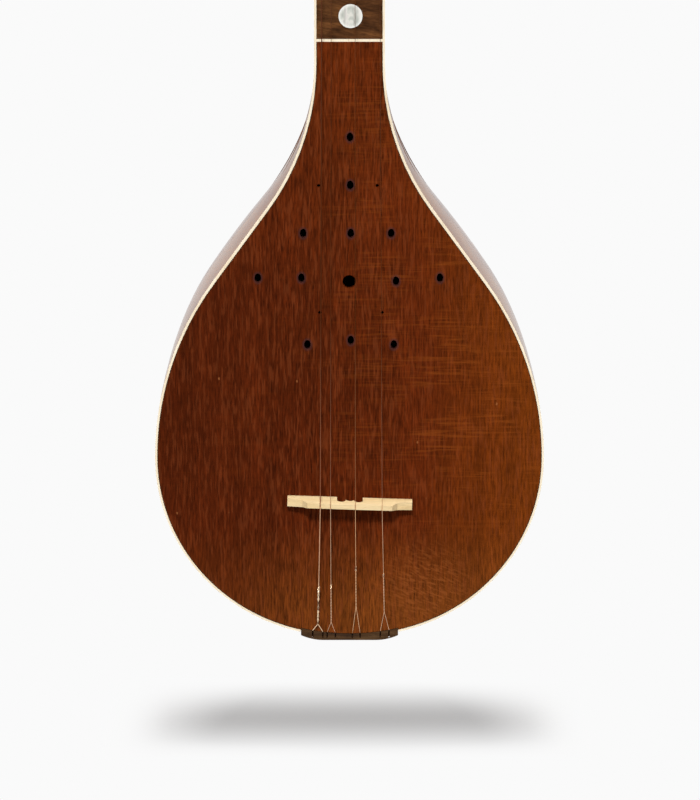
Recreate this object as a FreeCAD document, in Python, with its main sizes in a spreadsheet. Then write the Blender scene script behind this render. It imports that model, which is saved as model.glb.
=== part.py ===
import FreeCAD, Part
import math
import os

import Sketcher

# Setar, a long-necked lute with four strings and movable gut frets.
# Z runs up along the neck, the soundboard looks towards -Y, X is the viewer's right.
# The origin is the middle of the flat foot of the tailpiece.

Vector = FreeCAD.Vector
Rotation = FreeCAD.Rotation
Placement = FreeCAD.Placement

doc = FreeCAD.newDocument("setar")
sheet = doc.addObject("Spreadsheet::Sheet", "sizes")

# Driving dimensions in millimetres and degrees: name, value, meaning
SIZES = [
    # Front outline: end, lower bout, shoulder and throat arcs in one smooth chain,
    # their radii as shares of the half width
    ("body_half_width", 80, "half the width of the bowl at its widest"),
    ("end_share", 1.1, "outline arc round the tail end"),
    ("bout_share", 0.95, "outline arc of the lower bout"),
    ("shoulder_share", 1.575, "outline arc of the shoulder"),
    ("shoulder_slope", 36.1, "slope of the straight run above the shoulder"),
    ("throat_share", 1.2625, "hollow outline arc that runs into the neck"),
    ("throat_to_joint", 8.6, "straight run from the throat to the neck joint"),
    ("tail_overhang", 1.2, "how far the foot stands below the bowl"),
    # Bowl of ribs
    ("bowl_depth", 132, "front of the soundboard to the back of the bowl"),
    ("rib_count", 11, "ribs in the bowl"),
    ("rib_thickness", 2.5, "thickness of a rib"),
    ("rib_start", 3, "half width at which the ribs meet at the tail"),
    ("side_fullness", 1.3, "side arc radius over the depth of the section"),
    ("rim_swell", 0.35, "how far the bowl swells past its rim at the lower bout"),
    ("shoulder_swell", 1.6, "further swell at the shoulders"),
    # Front
    ("soundboard_thickness", 2.5, "soundboard, and the fingerboard level with it"),
    ("binding_width", 0.9, "edge binding seen from the front"),
    ("joint_strip_height", 1.1, "pale strip between soundboard and fingerboard"),
    ("sound_hole", 2.7, "width of the common sound holes"),
    ("sound_hole_height", 3.9, "height of these holes along the grain"),
    ("large_hole", 5.5, "diameter of the middle sound hole"),
    ("small_hole", 1.4, "diameter of the four smallest sound holes"),
    # Inside the bowl
    ("glue_gap", 0.15, "glue line at joints"),
    ("block_gap", 0.3, "glue bed between the blocks and the ribs"),
    ("tail_block_width", 40, "half width of the bowl at the top of the tail block"),
    ("neck_block_length", 30, "neck block below the joint"),
    ("brace_place", 104, "height of the cross brace"),
    ("brace_height", 8, "cross brace, front to back"),
    ("brace_width", 6, "cross brace along the strings"),
    # Neck and head
    ("scale_length", 650, "bridge to nut"),
    ("bridge_place", 59.6, "height of the bridge"),
    ("neck_half_width", 14.2, "half width of the neck at the joint"),
    ("nut_half_width", 13.2, "half width of the neck at the nut"),
    ("nut_depth", 18.5, "depth of the neck wood at the nut"),
    ("tenon_width", 11, "neck tenon across"),
    ("tenon_depth", 12, "neck tenon front to back"),
    ("tenon_length", 18, "neck tenon along the neck"),
    ("tenon_play", 0.1, "room round the tenon"),
    ("head_length", 112, "head above the nut"),
    ("head_back_half", 5, "half width of the flat back of the head"),
    ("head_side_end", 17.5, "how far back the sides of the head reach"),
    ("head_recess", 4, "front of the head behind the fingerboard"),
    ("head_bevel", 5, "bevel along the front edges of the head"),
    ("crown_height", 4, "bevelled crown at the end of the head"),
    ("crown_share", 0.78, "end of the crown over the section of the head"),
    ("pearl_diameter", 9.6, "pearl disc in the fingerboard"),
    ("pearl_thickness", 1.2, "thickness of the pearl disc"),
    ("pearl_place", 9.2, "centre of the pearl disc above the joint strip"),
    ("pearl_offset", 0.4, "pearl disc right of the middle"),
    ("inlay_gap", 0.03, "glue line round the pearl disc"),
    # Nut
    ("nut_thickness", 4, "nut along the strings"),
    ("nut_rise", 1.9, "nut above the fingerboard"),
    ("nut_slot_depth", 0.5, "depth of the string slots in the nut"),
    # Bridge
    ("bridge_length", 51.4, "bridge across the strings"),
    ("bridge_rise", 8.2, "bridge above the soundboard"),
    ("bridge_end_rise", 3.6, "bridge at its two ends"),
    ("bridge_foot", 4.1, "bridge along the strings at its foot"),
    ("bridge_ridge", 2.0, "bridge along the strings at its ridge"),
    ("bridge_ridge_half", 17.4, "half length of the ridge"),
    ("bridge_step", 2.2, "sloping step between the ridge and a low end"),
    ("bridge_tilt", 1.85, "how far the bridge is turned, in degrees"),
    ("bridge_notch", 0.5, "depth of its string notches"),
    ("bridge_gap", 0.05, "running gap under the bridge"),
    ("arch_width", 10.6, "cut-out under the middle of the bridge"),
    ("arch_rise", 5.2, "height of that cut-out"),
    ("bridge_shift", 0.1, "bridge right of the middle"),
    # Tailpiece
    ("tail_half_width", 20.2, "half width of the tailpiece"),
    ("tail_flat", 10.8, "half width of its flat foot"),
    ("tail_curl", 2.1, "how far the ends of its foot turn up"),
    ("tail_seat", 1.6, "how deep it is let into the end of the front"),
    ("tail_depth", 15, "tailpiece front to back"),
    ("tail_slot", 0.6, "width of its string slots"),
    ("tail_slot_depth", 2.8, "depth of its string slots"),
    ("tail_groove", 0.9, "depth of the groove under its teeth"),
    ("tail_lip", 1.1, "lip in front of that groove"),
    # Strings
    ("bass_wire", 0.4, "wound bass string"),
    ("zang_wire", 0.2, "drone string"),
    ("brass_wire", 0.22, "brass string"),
    ("steel_wire", 0.2, "steel string"),
    ("wire_gap", 0.05, "air between a string and what it lies on"),
    # Pegs
    ("peg_radius", 4.0, "peg shaft at the face of the head"),
    ("peg_tip_radius", 3.2, "peg shaft at its far end"),
    ("peg_play", 0.05, "running gap round a peg shaft"),
    ("peg_neck", 9, "bare shaft between head and handle"),
    ("peg_handle", 22, "length of the handle"),
    ("peg_handle_half", 10, "half width of the handle"),
    ("peg_handle_thickness", 8, "handle across its flats"),
    ("peg_collar", 5.4, "radius of the collar under the handle"),
    ("peg_collar_height", 1.2, "height of that collar"),
    ("peg_tip", 1.5, "shaft standing out at the far side"),
    ("side_peg_depth", 13, "axis of the side pegs behind the front"),
    ("winding_turns", 2.5, "turns of string on a peg"),
    ("winding_gap", 0.46, "air between two turns"),
    ("peg_string_gap", 0.3, "air between a string's end and its winding"),
    # Gut frets
    ("fret_gut", 0.6, "thickness of the tied gut"),
    ("fret_width", 2.2, "width of one tied fret"),
    ("fret_play", 0.06, "running gap between gut and neck"),
]

for row, (name, number, meaning) in enumerate(SIZES, start=1):
    sheet.set("A%d" % row, meaning)
    sheet.set("B%d" % row, str(number))
    sheet.setAlias("B%d" % row, name)
doc.recompute()


def size(name):
    """A driving dimension as a plain number."""
    return float(sheet.get(name))


def bind(thing, target, formula):
    """Tie a property to the sheet; names of sizes in the formula stand bare."""
    words = sorted({n for n, _, _ in SIZES if n in formula}, key=len, reverse=True)
    text = formula
    for index, word in enumerate(words):
        text = text.replace(word, "@%d@" % index)
    for index, word in enumerate(words):
        text = text.replace("@%d@" % index, "sizes." + word)
    thing.setExpression(target, text)


def origin_plane(body, role):
    return [f for f in body.Origin.OriginFeatures if f.Role == role][0]


def new_body(label):
    body = doc.addObject("PartDesign::Body", label)
    body.Label = label
    return body


def add_sketch(body, name, role, geometry, offset=None):
    """A sketch on one of the body's own planes, moved along the normal by the offset's formula."""
    sketch = body.newObject("Sketcher::SketchObject", name)
    sketch.AttachmentSupport = [(origin_plane(body, role), "")]
    sketch.MapMode = "FlatFace"
    sketch.addGeometry(geometry)
    if offset is not None:
        bind(sketch, "AttachmentOffset.Base.z", offset)
    return sketch


def add_feature(body, kind, name, sketch, **settings):
    """A sketch-based feature; settings are either plain values or formulas of sizes."""
    feature = body.newObject("PartDesign::" + kind, name)
    feature.Profile = sketch
    for key, setting in settings.items():
        if isinstance(setting, str) and key in ("Length", "Length2", "Angle", "Diameter"):
            bind(feature, key, setting)
        else:
            setattr(feature, key, setting)
    return feature


def cut(body, name, sketch, length=None):
    """A pocket that must take material away, on whichever side of its sketch the solid lies."""
    doc.recompute()
    before = body.Shape.Volume
    if length is None:
        pocket = add_feature(body, "Pocket", name, sketch, Type="ThroughAll", Midplane=True)
    else:
        pocket = add_feature(body, "Pocket", name, sketch, Length=length)
    doc.recompute()
    if body.Shape.Volume > before - 1e-6:
        pocket.Reversed = True
        doc.recompute()
    if body.Shape.Volume > before - 1e-6:
        raise ValueError(name + " cuts nothing")
    return pocket


def line(x1, y1, x2, y2):
    return Part.LineSegment(Vector(x1, y1, 0), Vector(x2, y2, 0))


def loop(points):
    """Straight lines through the points and back to the first."""
    ends = points[1:] + points[:1]
    return [line(a[0], a[1], b[0], b[1]) for a, b in zip(points, ends)]


def rectangle(x1, y1, x2, y2):
    return loop([(x1, y1), (x2, y1), (x2, y2), (x1, y2)])


def arc(center, radius, start, end):
    """An arc that runs counter-clockwise from the start angle to the end angle."""
    circle = Part.Circle(Vector(center[0], center[1], 0), Vector(0, 0, 1), radius)
    return Part.ArcOfCircle(circle, start, end)


def circle(x, y, diameter):
    return Part.Circle(Vector(x, y, 0), Vector(0, 0, 1), diameter / 2)


def oval(x, y, across, high, sides):
    """Corners of an even many-sided figure, as wide and high as these two half sizes."""
    turns = [2 * math.pi * (corner + 0.5) / sides for corner in range(sides)]
    return [(x + across * math.cos(turn), y + high * math.sin(turn)) for turn in turns]


def ring(x, y, radius, sides):
    return oval(x, y, radius, radius, sides)


def arc_through(a, b, c):
    return Part.Arc(Vector(a[0], a[1], 0), Vector(b[0], b[1], 0), Vector(c[0], c[1], 0))


def on_circle(center, radius, angle):
    return center[0] + radius * math.cos(angle), center[1] + radius * math.sin(angle)


def plain_object(label, shape):
    thing = doc.addObject("Part::Feature", label)
    thing.Label = label
    thing.Shape = shape
    return thing


def faceted(rings):
    """A solid with flat facets through rings of corners, closed at both ends."""
    facets = []
    for low, high in zip(rings, rings[1:]):
        for a, b in zip(range(len(low)), [*range(1, len(low)), 0]):
            # neighbours split a shared wall along the same diagonal
            if low[a].Length > low[b].Length:
                facets += [(low[a], low[b], high[b]), (low[a], high[b], high[a])]
            else:
                facets += [(low[a], low[b], high[a]), (low[b], high[b], high[a])]
    for end in (rings[0], rings[-1]):
        facets += [(end[0], b, c) for b, c in zip(end[1:], end[2:])]
    faces = [Part.Face(Part.makePolygon([*corners, corners[0]])) for corners in facets]
    shell = Part.makeShell(faces)
    shell.sewShape()
    solid = Part.makeSolid(shell)
    if solid.Volume < 0:
        solid.reverse()
    return solid


# Front outline, as seen from the front: x to the right, z up

half_width = size("body_half_width")
end_radius = size("end_share") * half_width
bout_radius = size("bout_share") * half_width
shoulder_radius = size("shoulder_share") * half_width
throat_radius = size("throat_share") * half_width
slope = math.radians(size("shoulder_slope"))
neck_half = size("neck_half_width")
board = size("soundboard_thickness")
binding = size("binding_width")

end_center = (0, size("tail_overhang") + end_radius)
widest = end_center[1] - math.sqrt((end_radius - bout_radius) ** 2 - (half_width - bout_radius) ** 2)
bout_center = (half_width - bout_radius, widest)
shoulder_center = (half_width - shoulder_radius, widest)
bout_turn = math.atan2(bout_center[1] - end_center[1], bout_center[0] - end_center[0])
shoulder_end = (
    shoulder_center[0] + shoulder_radius * math.cos(slope),
    widest + shoulder_radius * math.sin(slope),
)
straight = (shoulder_end[0] - neck_half - throat_radius * (1 - math.cos(slope))) / math.sin(slope)
throat_start = (
    shoulder_end[0] - straight * math.sin(slope),
    shoulder_end[1] + straight * math.cos(slope),
)
throat_center = (neck_half + throat_radius, throat_start[1] + throat_radius * math.sin(slope))
throat_top = throat_center[1]
joint_height = throat_top + size("throat_to_joint")
strip_top = joint_height + size("joint_strip_height")
nut_height = size("bridge_place") + size("scale_length")
nut_top = nut_height + size("nut_thickness")


def neck_width_at(height):
    """Half width of the neck, which narrows evenly from the throat to the nut."""
    share = (height - throat_top) / (nut_height - throat_top)
    return neck_half + (size("nut_half_width") - neck_half) * share


def tail_angle(x, radius):
    """Angle on an arc round the end's centre where it reaches the distance x from the middle."""
    return -math.pi / 2 + math.asin(x / radius)


def half_outline(inset, start_x):
    """Arcs and the straight run of the right half, from the tail up to the throat's top."""
    radius = end_radius - inset
    before_throat = [
        arc(end_center, radius, tail_angle(start_x, radius), bout_turn),
        arc(bout_center, bout_radius - inset, bout_turn, 0),
        arc(shoulder_center, shoulder_radius - inset, 0, slope),
    ]
    shift = (-inset * math.cos(slope), -inset * math.sin(slope))
    run = line(
        shoulder_end[0] + shift[0],
        shoulder_end[1] + shift[1],
        throat_start[0] + shift[0],
        throat_start[1] + shift[1],
    )
    throat = arc(throat_center, throat_radius + inset, math.pi, math.pi + slope)
    return before_throat + [run, throat]


def mirrored(geometry):
    """The same lines and arcs on the left side."""
    found = []
    for piece in geometry:
        if isinstance(piece, Part.LineSegment):
            a, b = piece.StartPoint, piece.EndPoint
            found.append(line(-a.x, a.y, -b.x, b.y))
        else:
            center = piece.Center
            first, last = piece.FirstParameter, piece.LastParameter
            found.append(arc((-center.x, center.y), piece.Radius, math.pi - last, math.pi - first))
    return found


# Cross-section of the bowl and of the neck: flat in front, a side arc and a tighter back arc


def section_arcs(half, depth, swell):
    """Centre and radius of the right side arc and of the back arc, with the rim at y = 0."""
    side = size("side_fullness") * depth
    middle = math.sqrt(2 * side * swell - swell**2)
    wide = half + swell
    rise = depth - middle
    back = (wide**2 + rise**2 - 2 * side * wide) / (2 * (rise - side))
    return (wide - side, middle), side, (0, depth - back), back


def section_point(half, depth, swell, angle):
    """Where a ray from the middle of the front, at an angle from +X, meets the section."""
    side_center, side, back_center, back = section_arcs(half, depth, swell)
    reach = math.dist(side_center, back_center)
    share = side / reach
    meet = [s + (b - s) * share for s, b in zip(side_center, back_center)]
    mirror = 1 if angle <= math.pi / 2 else -1
    ray = (abs(math.cos(angle)), math.sin(angle))
    on_side = math.atan2(ray[1], ray[0]) < math.atan2(meet[1], meet[0])
    center, radius = (side_center, side) if on_side else (back_center, back)
    along = ray[0] * center[0] + ray[1] * center[1]
    inside = center[0] ** 2 + center[1] ** 2 - radius**2
    distance = along + math.sqrt(along**2 - inside)
    return mirror * distance * ray[0], distance * ray[1], radius


depth_ratio = (size("bowl_depth") - board) / half_width
NECK_FACETS = 14


def neck_points(half, depth):
    """Corners of the rounded back of a neck section, from the right rim round to the left rim."""
    (cx, cy), side, (bx, by), back = section_arcs(half, depth, 0)
    turn = math.atan2(by - cy, bx - cx)
    right = []
    for step in range(NECK_FACETS // 2 + 1):
        angle = math.pi * step / NECK_FACETS
        center, radius = ((cx, cy), side) if angle < turn else ((bx, by), back)
        x, y = on_circle(center, radius, angle)
        right.append((x, board + y))
    return right + [(-x, y) for x, y in right[-2::-1]]


def grown(points, distance):
    """A convex outline with every side moved outward."""
    found = []
    count = len(points)
    for index, corner in enumerate(points):
        before, after = points[index - 1], points[(index + 1) % count]
        normals = []
        for a, b in ((before, corner), (corner, after)):
            length = math.dist(a, b)
            normals.append(((b[1] - a[1]) / length, (a[0] - b[0]) / length))
        (px, py), (qx, qy) = normals
        scale = distance / (1 + px * qx + py * qy)
        found.append((corner[0] + (px + qx) * scale, corner[1] + (py + qy) * scale))
    return found


# Stations along the outline, from the tail to the neck joint


def outline_stations(count):
    """Points (half width, height) and outward normals at even steps along the right outline."""
    start_x = size("rib_start")
    pieces = half_outline(0, start_x)
    pieces.append(line(neck_half, throat_top, neck_half, joint_height))
    lengths = [piece.length() for piece in pieces]
    total = sum(lengths)
    stations = []
    for index in range(count):
        reach = total * index / (count - 1)
        for order, (piece, length) in enumerate(zip(pieces, lengths)):
            if reach <= length + 1e-9 or order == len(pieces) - 1:
                break
            reach -= length
        share = min(max(reach / length, 0), 1)
        if order == 4:
            share = 1 - share
        first, last = piece.FirstParameter, piece.LastParameter
        spot = first + (last - first) * share
        place = piece.value(spot)
        along = piece.tangent(spot)[0]
        normal = Vector(along.y, -along.x, 0)
        if normal.x < 0 and order != 0:
            normal = -normal
        if order == 4:
            normal = Vector(abs(along.y), abs(along.x), 0)
        stations.append((place.x, place.y, normal.x, normal.y))
    return stations


def swell_at(half, height):
    """How far the bowl swells past its rim, most of it half way up the shoulders."""
    share = min(max((height - widest) / (throat_top - widest), 0), 1)
    low = size("rim_swell") * min(2 * half / half_width, 1)
    return low + size("shoulder_swell") * math.sin(math.pi * share) ** 2


rib_count = int(size("rib_count"))


def rib_angles():
    """Angles of the joints between ribs, which make the ribs equally wide at the widest place."""
    swell = size("rim_swell")
    steps = 360
    points = []
    for step in range(steps + 1):
        x, y, _ = section_point(half_width, depth_ratio * half_width, swell, math.pi * step / steps)
        points.append((x, y))
    travelled = [0]
    for a, b in zip(points, points[1:]):
        travelled.append(travelled[-1] + math.dist(a, b))
    angles = []
    for joint in range(rib_count + 1):
        goal = travelled[-1] * joint / rib_count
        step = max(i for i, t in enumerate(travelled) if t <= goal + 1e-9)
        step = min(step, steps - 1)
        part = (goal - travelled[step]) / (travelled[step + 1] - travelled[step])
        angles.append(math.pi * (step + part) / steps)
    return angles


STATION_COUNT = 26
# width of a rib over the even share of a section's girth
RIB_SHARE = 1.22
# most that a joint may stand out, over the width of a rib
JOINT_RISE = 0.12
stations = outline_stations(STATION_COUNT)
joint_angles = rib_angles()


def on_rim(angle):
    return angle < 1e-6 or angle > math.pi - 1e-6


def bowl_point(station, angle):
    """A point of a rib joint, which stands out so that the flat ribs beside it touch the curve."""
    half, height = station[0], station[1]
    depth = depth_ratio * half
    x, y, radius = section_point(half, depth, swell_at(half, height), angle)
    wide = math.pi * (half + depth) / 2 / rib_count * RIB_SHARE
    push = 0 if on_rim(angle) else min(wide**2 / (8 * radius), JOINT_RISE * wide)
    reach = math.hypot(x, y)
    return Vector(x * (1 + push / reach), y * (1 + push / reach) + board, height)


def inward(index, angle):
    """The bowl's inward direction at a station and an angle."""
    station = stations[index]
    if on_rim(angle):
        side = 1 if angle < math.pi / 2 else -1
        return Vector(-side * station[2], 0, -station[3])
    before, after = max(index - 1, 0), min(index + 1, STATION_COUNT - 1)
    along = bowl_point(stations[after], angle) - bowl_point(stations[before], angle)
    across = bowl_point(station, angle + 0.05) - bowl_point(station, angle - 0.05)
    direction = across.cross(along)
    direction.normalize()
    middle = Vector(0, board, station[1])
    if direction.dot(middle - bowl_point(station, angle)) < 0:
        direction = -direction
    return direction


def joint_line(angle, depth):
    """Points of a rib joint from the tail to the neck, at a depth below the outside."""
    points = []
    for index, station in enumerate(stations):
        points.append(bowl_point(station, angle) + inward(index, angle) * depth)
    points[-1].z = joint_height
    return points


outer_lines = [joint_line(angle, 0) for angle in joint_angles]
inner_lines = [joint_line(angle, size("rib_thickness")) for angle in joint_angles]


def rib(index):
    """One stave: bent along its length, flat across, meeting its neighbours in planes."""
    corners = (outer_lines[index], outer_lines[index + 1], inner_lines[index + 1], inner_lines[index])
    return faceted([list(four) for four in zip(*corners)])


for index in range(rib_count):
    plain_object("rib_%02d" % (index + 1), rib(index))


# Blocks and brace inside the bowl

def point_at_height(points, height):
    """Where an inner joint line passes a height."""
    for low, high in zip(points, points[1:]):
        if low.z <= height <= high.z:
            return low + (high - low) * ((height - low.z) / (high.z - low.z))
    raise ValueError("height outside the bowl")


def inner_section(height):
    """Corners of the bowl's inside at a height, drawn in by the glue bed."""
    points = []
    for inner_line in inner_lines:
        point = point_at_height(inner_line, height)
        reach = math.hypot(point.x, point.y - board)
        share = 1 - size("block_gap") / reach
        points.append(Vector(point.x * share, board + (point.y - board) * share, height))
    return points


def block(label, heights):
    """A block between the ribs and the soundboard, shaped at the given heights."""
    return plain_object(label, faceted([inner_section(height) for height in heights]))


def outline_height(half):
    """Height at which the lower outline is a given distance from the middle."""
    return end_center[1] - math.sqrt(end_radius**2 - half**2)


tail_low = size("tail_overhang") + size("rib_thickness") + size("block_gap")
tail_high = outline_height(size("tail_block_width")) + size("rib_thickness")
tail_steps = [0.02, 0.12, 0.3, 0.6, 1]
block("tail_block", [tail_low + (tail_high - tail_low) * share for share in tail_steps])

neck_block_low = joint_height - size("neck_block_length")
neck_steps = [0, 0.2, 0.4, 0.6, 0.8, 1]
neck_blank = block("neck_blank", [neck_block_low + size("neck_block_length") * s for s in neck_steps])
mortise = doc.addObject("Part::Box", "mortise")
bind(mortise, "Length", "tenon_width + 2 * tenon_play")
bind(mortise, "Width", "tenon_depth + 2 * tenon_play")
bind(mortise, "Height", "tenon_length + tenon_play")
bind(mortise, "Placement.Base.x", "-tenon_width / 2 - tenon_play")
tenon_front = board + (depth_ratio * neck_half - size("tenon_depth")) / 2
mortise.Placement.Base.y = tenon_front - size("tenon_play")
mortise.Placement.Base.z = joint_height - size("tenon_length") - size("tenon_play")
neck_block = doc.addObject("Part::Cut", "neck_block")
neck_block.Label = "neck_block"
neck_block.Base = neck_blank
neck_block.Tool = mortise

brace = new_body("cross_brace")
brace_top = size("brace_place") + size("brace_width") / 2
brace_half = point_at_height(inner_lines[0], brace_top).x - size("glue_gap")
brace_end = brace_half - 3 * size("brace_height")
brace_low = board + size("brace_height")
brace_tip = board + size("brace_height") / 4
profile = [
    line(-brace_half, board, brace_half, board),
    line(brace_half, board, brace_half, brace_tip),
    line(brace_half, brace_tip, brace_end, brace_low),
    line(brace_end, brace_low, -brace_end, brace_low),
    line(-brace_end, brace_low, -brace_half, brace_tip),
    line(-brace_half, brace_tip, -brace_half, board),
]
outline = add_sketch(brace, "brace_outline", "XY_Plane", profile, "brace_place - brace_width / 2")
add_feature(brace, "Pad", "brace_pad", outline, Length="brace_width")


# Front: soundboard with its sound holes, edge binding, joint strip

tail_half = size("tail_half_width")
seat_radius = end_radius - size("tail_seat") - size("glue_gap")
step_x = tail_half + size("glue_gap")
inner_radius = end_radius - binding


seat_turn = tail_angle(step_x, seat_radius)
seat_end = on_circle(end_center, seat_radius, seat_turn)
rim_start = on_circle(end_center, inner_radius, tail_angle(step_x, inner_radius))
right_side = half_outline(binding, step_x)
right_side.append(line(seat_end[0], seat_end[1], rim_start[0], rim_start[1]))
board_top = neck_width_at(joint_height) - binding
right_side.append(line(neck_half - binding, throat_top, board_top, joint_height))
soundboard = new_body("soundboard")
board_outline = add_sketch(
    soundboard,
    "board_outline",
    "XZ_Plane",
    right_side
    + mirrored(right_side)
    + [arc(end_center, seat_radius, -math.pi - seat_turn, seat_turn)]
    + [line(-board_top, joint_height, board_top, joint_height)],
)
add_feature(soundboard, "Pad", "board_pad", board_outline, Length="soundboard_thickness", Reversed=True)

# Rows of sound holes on a bowl of this half width: height, places across
DRAWN_HALF_WIDTH = 80
SOUND_HOLES = [
    (212, [0.2]),
    (192.3, [0.3]),
    (172.5, [-18.8, 0.5, 16.9]),
    (154, [-37.3, -19.6, 36.8]),
    (152.7, [18.9]),
    (128, [0.5]),
    (126.2, [-17.2, 18.1]),
]
SMALL_HOLES = [(192.2, [-12.5, 11.2]), (139.6, [-12.1, 13.3])]
LARGE_HOLES = [(152.5, [-0.1])]
drawn = half_width / DRAWN_HALF_WIDTH
holes = []
hole_rows = [
    ("sound_hole", "sound_hole_height", 16, SOUND_HOLES),
    ("small_hole", "small_hole", 8, SMALL_HOLES),
    ("large_hole", "large_hole", 20, LARGE_HOLES),
]
for width, height, sides, rows in hole_rows:
    for z, places in rows:
        for x in places:
            holes += loop(oval(drawn * x, drawn * z, size(width) / 2, size(height) / 2, sides))
cut(soundboard, "holes_cut", add_sketch(soundboard, "holes", "XZ_Plane", holes))

edge_binding = new_body("edge_binding")
nut_half = size("nut_half_width")
outer_start = on_circle(end_center, end_radius, tail_angle(step_x, end_radius))
strip = half_outline(0, step_x) + half_outline(binding, step_x)
strip += [
    line(neck_half, throat_top, nut_half, nut_height),
    line(neck_half - binding, throat_top, nut_half - binding, nut_height),
    line(nut_half - binding, nut_height, nut_half, nut_height),
    line(outer_start[0], outer_start[1], rim_start[0], rim_start[1]),
]
strip_outline = add_sketch(edge_binding, "binding_outline", "XZ_Plane", strip + mirrored(strip))
add_feature(
    edge_binding, "Pad", "binding_pad", strip_outline, Length="soundboard_thickness", Reversed=True
)

joint_strip = new_body("joint_strip")
strip_outline = add_sketch(
    joint_strip,
    "strip_outline",
    "XZ_Plane",
    loop(
        [
            (-board_top, joint_height),
            (board_top, joint_height),
            (neck_width_at(strip_top) - binding, strip_top),
            (binding - neck_width_at(strip_top), strip_top),
        ]
    ),
)
add_feature(joint_strip, "Pad", "strip_pad", strip_outline, Length="soundboard_thickness", Reversed=True)


# Fingerboard with its pearl disc

fingerboard = new_body("fingerboard")
foot_half = neck_width_at(strip_top) - binding
outline = add_sketch(
    fingerboard,
    "fingerboard_outline",
    "XZ_Plane",
    loop(
        [
            (-foot_half, strip_top),
            (foot_half, strip_top),
            (nut_half - binding, nut_height),
            (binding - nut_half, nut_height),
        ]
    ),
)
add_feature(fingerboard, "Pad", "fingerboard_pad", outline, Length="soundboard_thickness", Reversed=True)
pearl_height = strip_top + size("pearl_place")
recess = circle(size("pearl_offset"), pearl_height, size("pearl_diameter") + 2 * size("inlay_gap"))
recess_sketch = add_sketch(fingerboard, "pearl_recess", "XZ_Plane", [recess])
cut(fingerboard, "pearl_pocket", recess_sketch, "pearl_thickness + inlay_gap")

pearl = doc.addObject("Part::Cylinder", "pearl_dot")
pearl.Label = "pearl_dot"
bind(pearl, "Radius", "pearl_diameter / 2")
bind(pearl, "Height", "pearl_thickness")
pearl.Placement = Placement(Vector(0, 0, pearl_height), Rotation(Vector(1, 0, 0), -90))
bind(pearl, "Placement.Base.x", "pearl_offset")


# Neck and head, one piece of wood

neck = new_body("neck")
nut_depth = size("nut_depth")
joint_depth = depth_ratio * neck_half
joint_section = add_sketch(neck, "joint_section", "XY_Plane", loop(neck_points(neck_half, joint_depth)))
joint_section.AttachmentOffset.Base.z = joint_height
nut_section = add_sketch(
    neck,
    "nut_section",
    "XY_Plane",
    loop(neck_points(nut_half, nut_depth)),
    "bridge_place + scale_length + nut_thickness",
)
add_feature(neck, "AdditiveLoft", "neck_shaft", joint_section, Sections=[nut_section], Ruled=True)
doc.recompute()


def neck_x_at(depth):
    """Half width of the neck at the nut, at a distance behind the front."""
    (cx, cy), side, _, _ = section_arcs(nut_half, nut_depth, 0)
    return cx + math.sqrt(side**2 - (depth - board - cy) ** 2)


head_front = size("head_recess")
bevel_end = head_front + size("head_bevel")
side_end = size("head_side_end")
head_side = neck_x_at(bevel_end)
back_half = size("head_back_half")
head_right = [
    (head_side - size("head_bevel"), head_front),
    (head_side, bevel_end),
    (neck_x_at(side_end), side_end),
    (back_half, board + nut_depth),
]
head_outline = head_right + [(-x, y) for x, y in head_right[::-1]]
head_middle = (head_front + board + nut_depth) / 2


def head_section(name, share, offset):
    outline = [(x * share, head_middle + (y - head_middle) * share) for x, y in head_outline]
    return add_sketch(neck, name, "XY_Plane", loop(outline), offset)


start = "bridge_place + scale_length + nut_thickness"
end = start + " + head_length"
head_foot = head_section("head_foot", 1, start)
add_feature(neck, "Pad", "head", head_foot, Length="head_length")
crown_foot = head_section("crown_foot", 1, end)
crown_top = head_section("crown_top", size("crown_share"), end + " + crown_height")
add_feature(neck, "AdditiveLoft", "crown", crown_foot, Sections=[crown_top], Ruled=True)
tenon_half = size("tenon_width") / 2
tenon_outline = rectangle(-tenon_half, tenon_front, tenon_half, tenon_front + size("tenon_depth"))
tenon_sketch = add_sketch(neck, "tenon_outline", "XY_Plane", tenon_outline)
tenon_sketch.AttachmentOffset.Base.z = joint_height
add_feature(neck, "Pad", "tenon", tenon_sketch, Length="tenon_length", Reversed=True)
doc.recompute()


# Strings and their pegs: name, wire, place of peg above the nut, side of head,
# where the string crosses nut, bridge and tail tooth, half width and apex of its tail loop,
# side of the peg it winds on, turn of the handle

STRINGS = [
    ("bass", 62, "side", -9.0, -12.0, -13.2, 2.1, 7.2, 21.5, 1, 25),
    ("zang", 24, "side", -6.2, -7.8, -7.6, 1.7, 8.0, 23.5, 1, -20),
    ("brass", 42, "front", 1.8, 2.4, 2.8, 1.6, 15.0, 31.5, -1, 12),
    ("steel", 84, "front", 9.5, 13.4, 14.6, 1.8, 12.6, 28.5, 1, -15),
]
FRAMES = {
    "front": Rotation(Vector(1, 0, 0), Vector(0, 0, 1), Vector(0, -1, 0), "ZXY"),
    "side": Rotation(Vector(0, -1, 0), Vector(0, 0, 1), Vector(-1, 0, 0), "ZXY"),
}


def peg_seat(place, kind):
    """Middle of the shaft where it leaves the head, and the length of wood that it passes."""
    height = nut_top + place
    if kind == "front":
        return Vector(0, size("head_recess"), height), board + nut_depth - size("head_recess")
    return Vector(-head_side, size("side_peg_depth"), height), 2 * head_side


def shaft_radius(along, grip):
    """Radius of the tapered shaft; along is zero at the face of the head and falls inside it."""
    return size("peg_radius") + (size("peg_radius") - size("peg_tip_radius")) * along / grip


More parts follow.
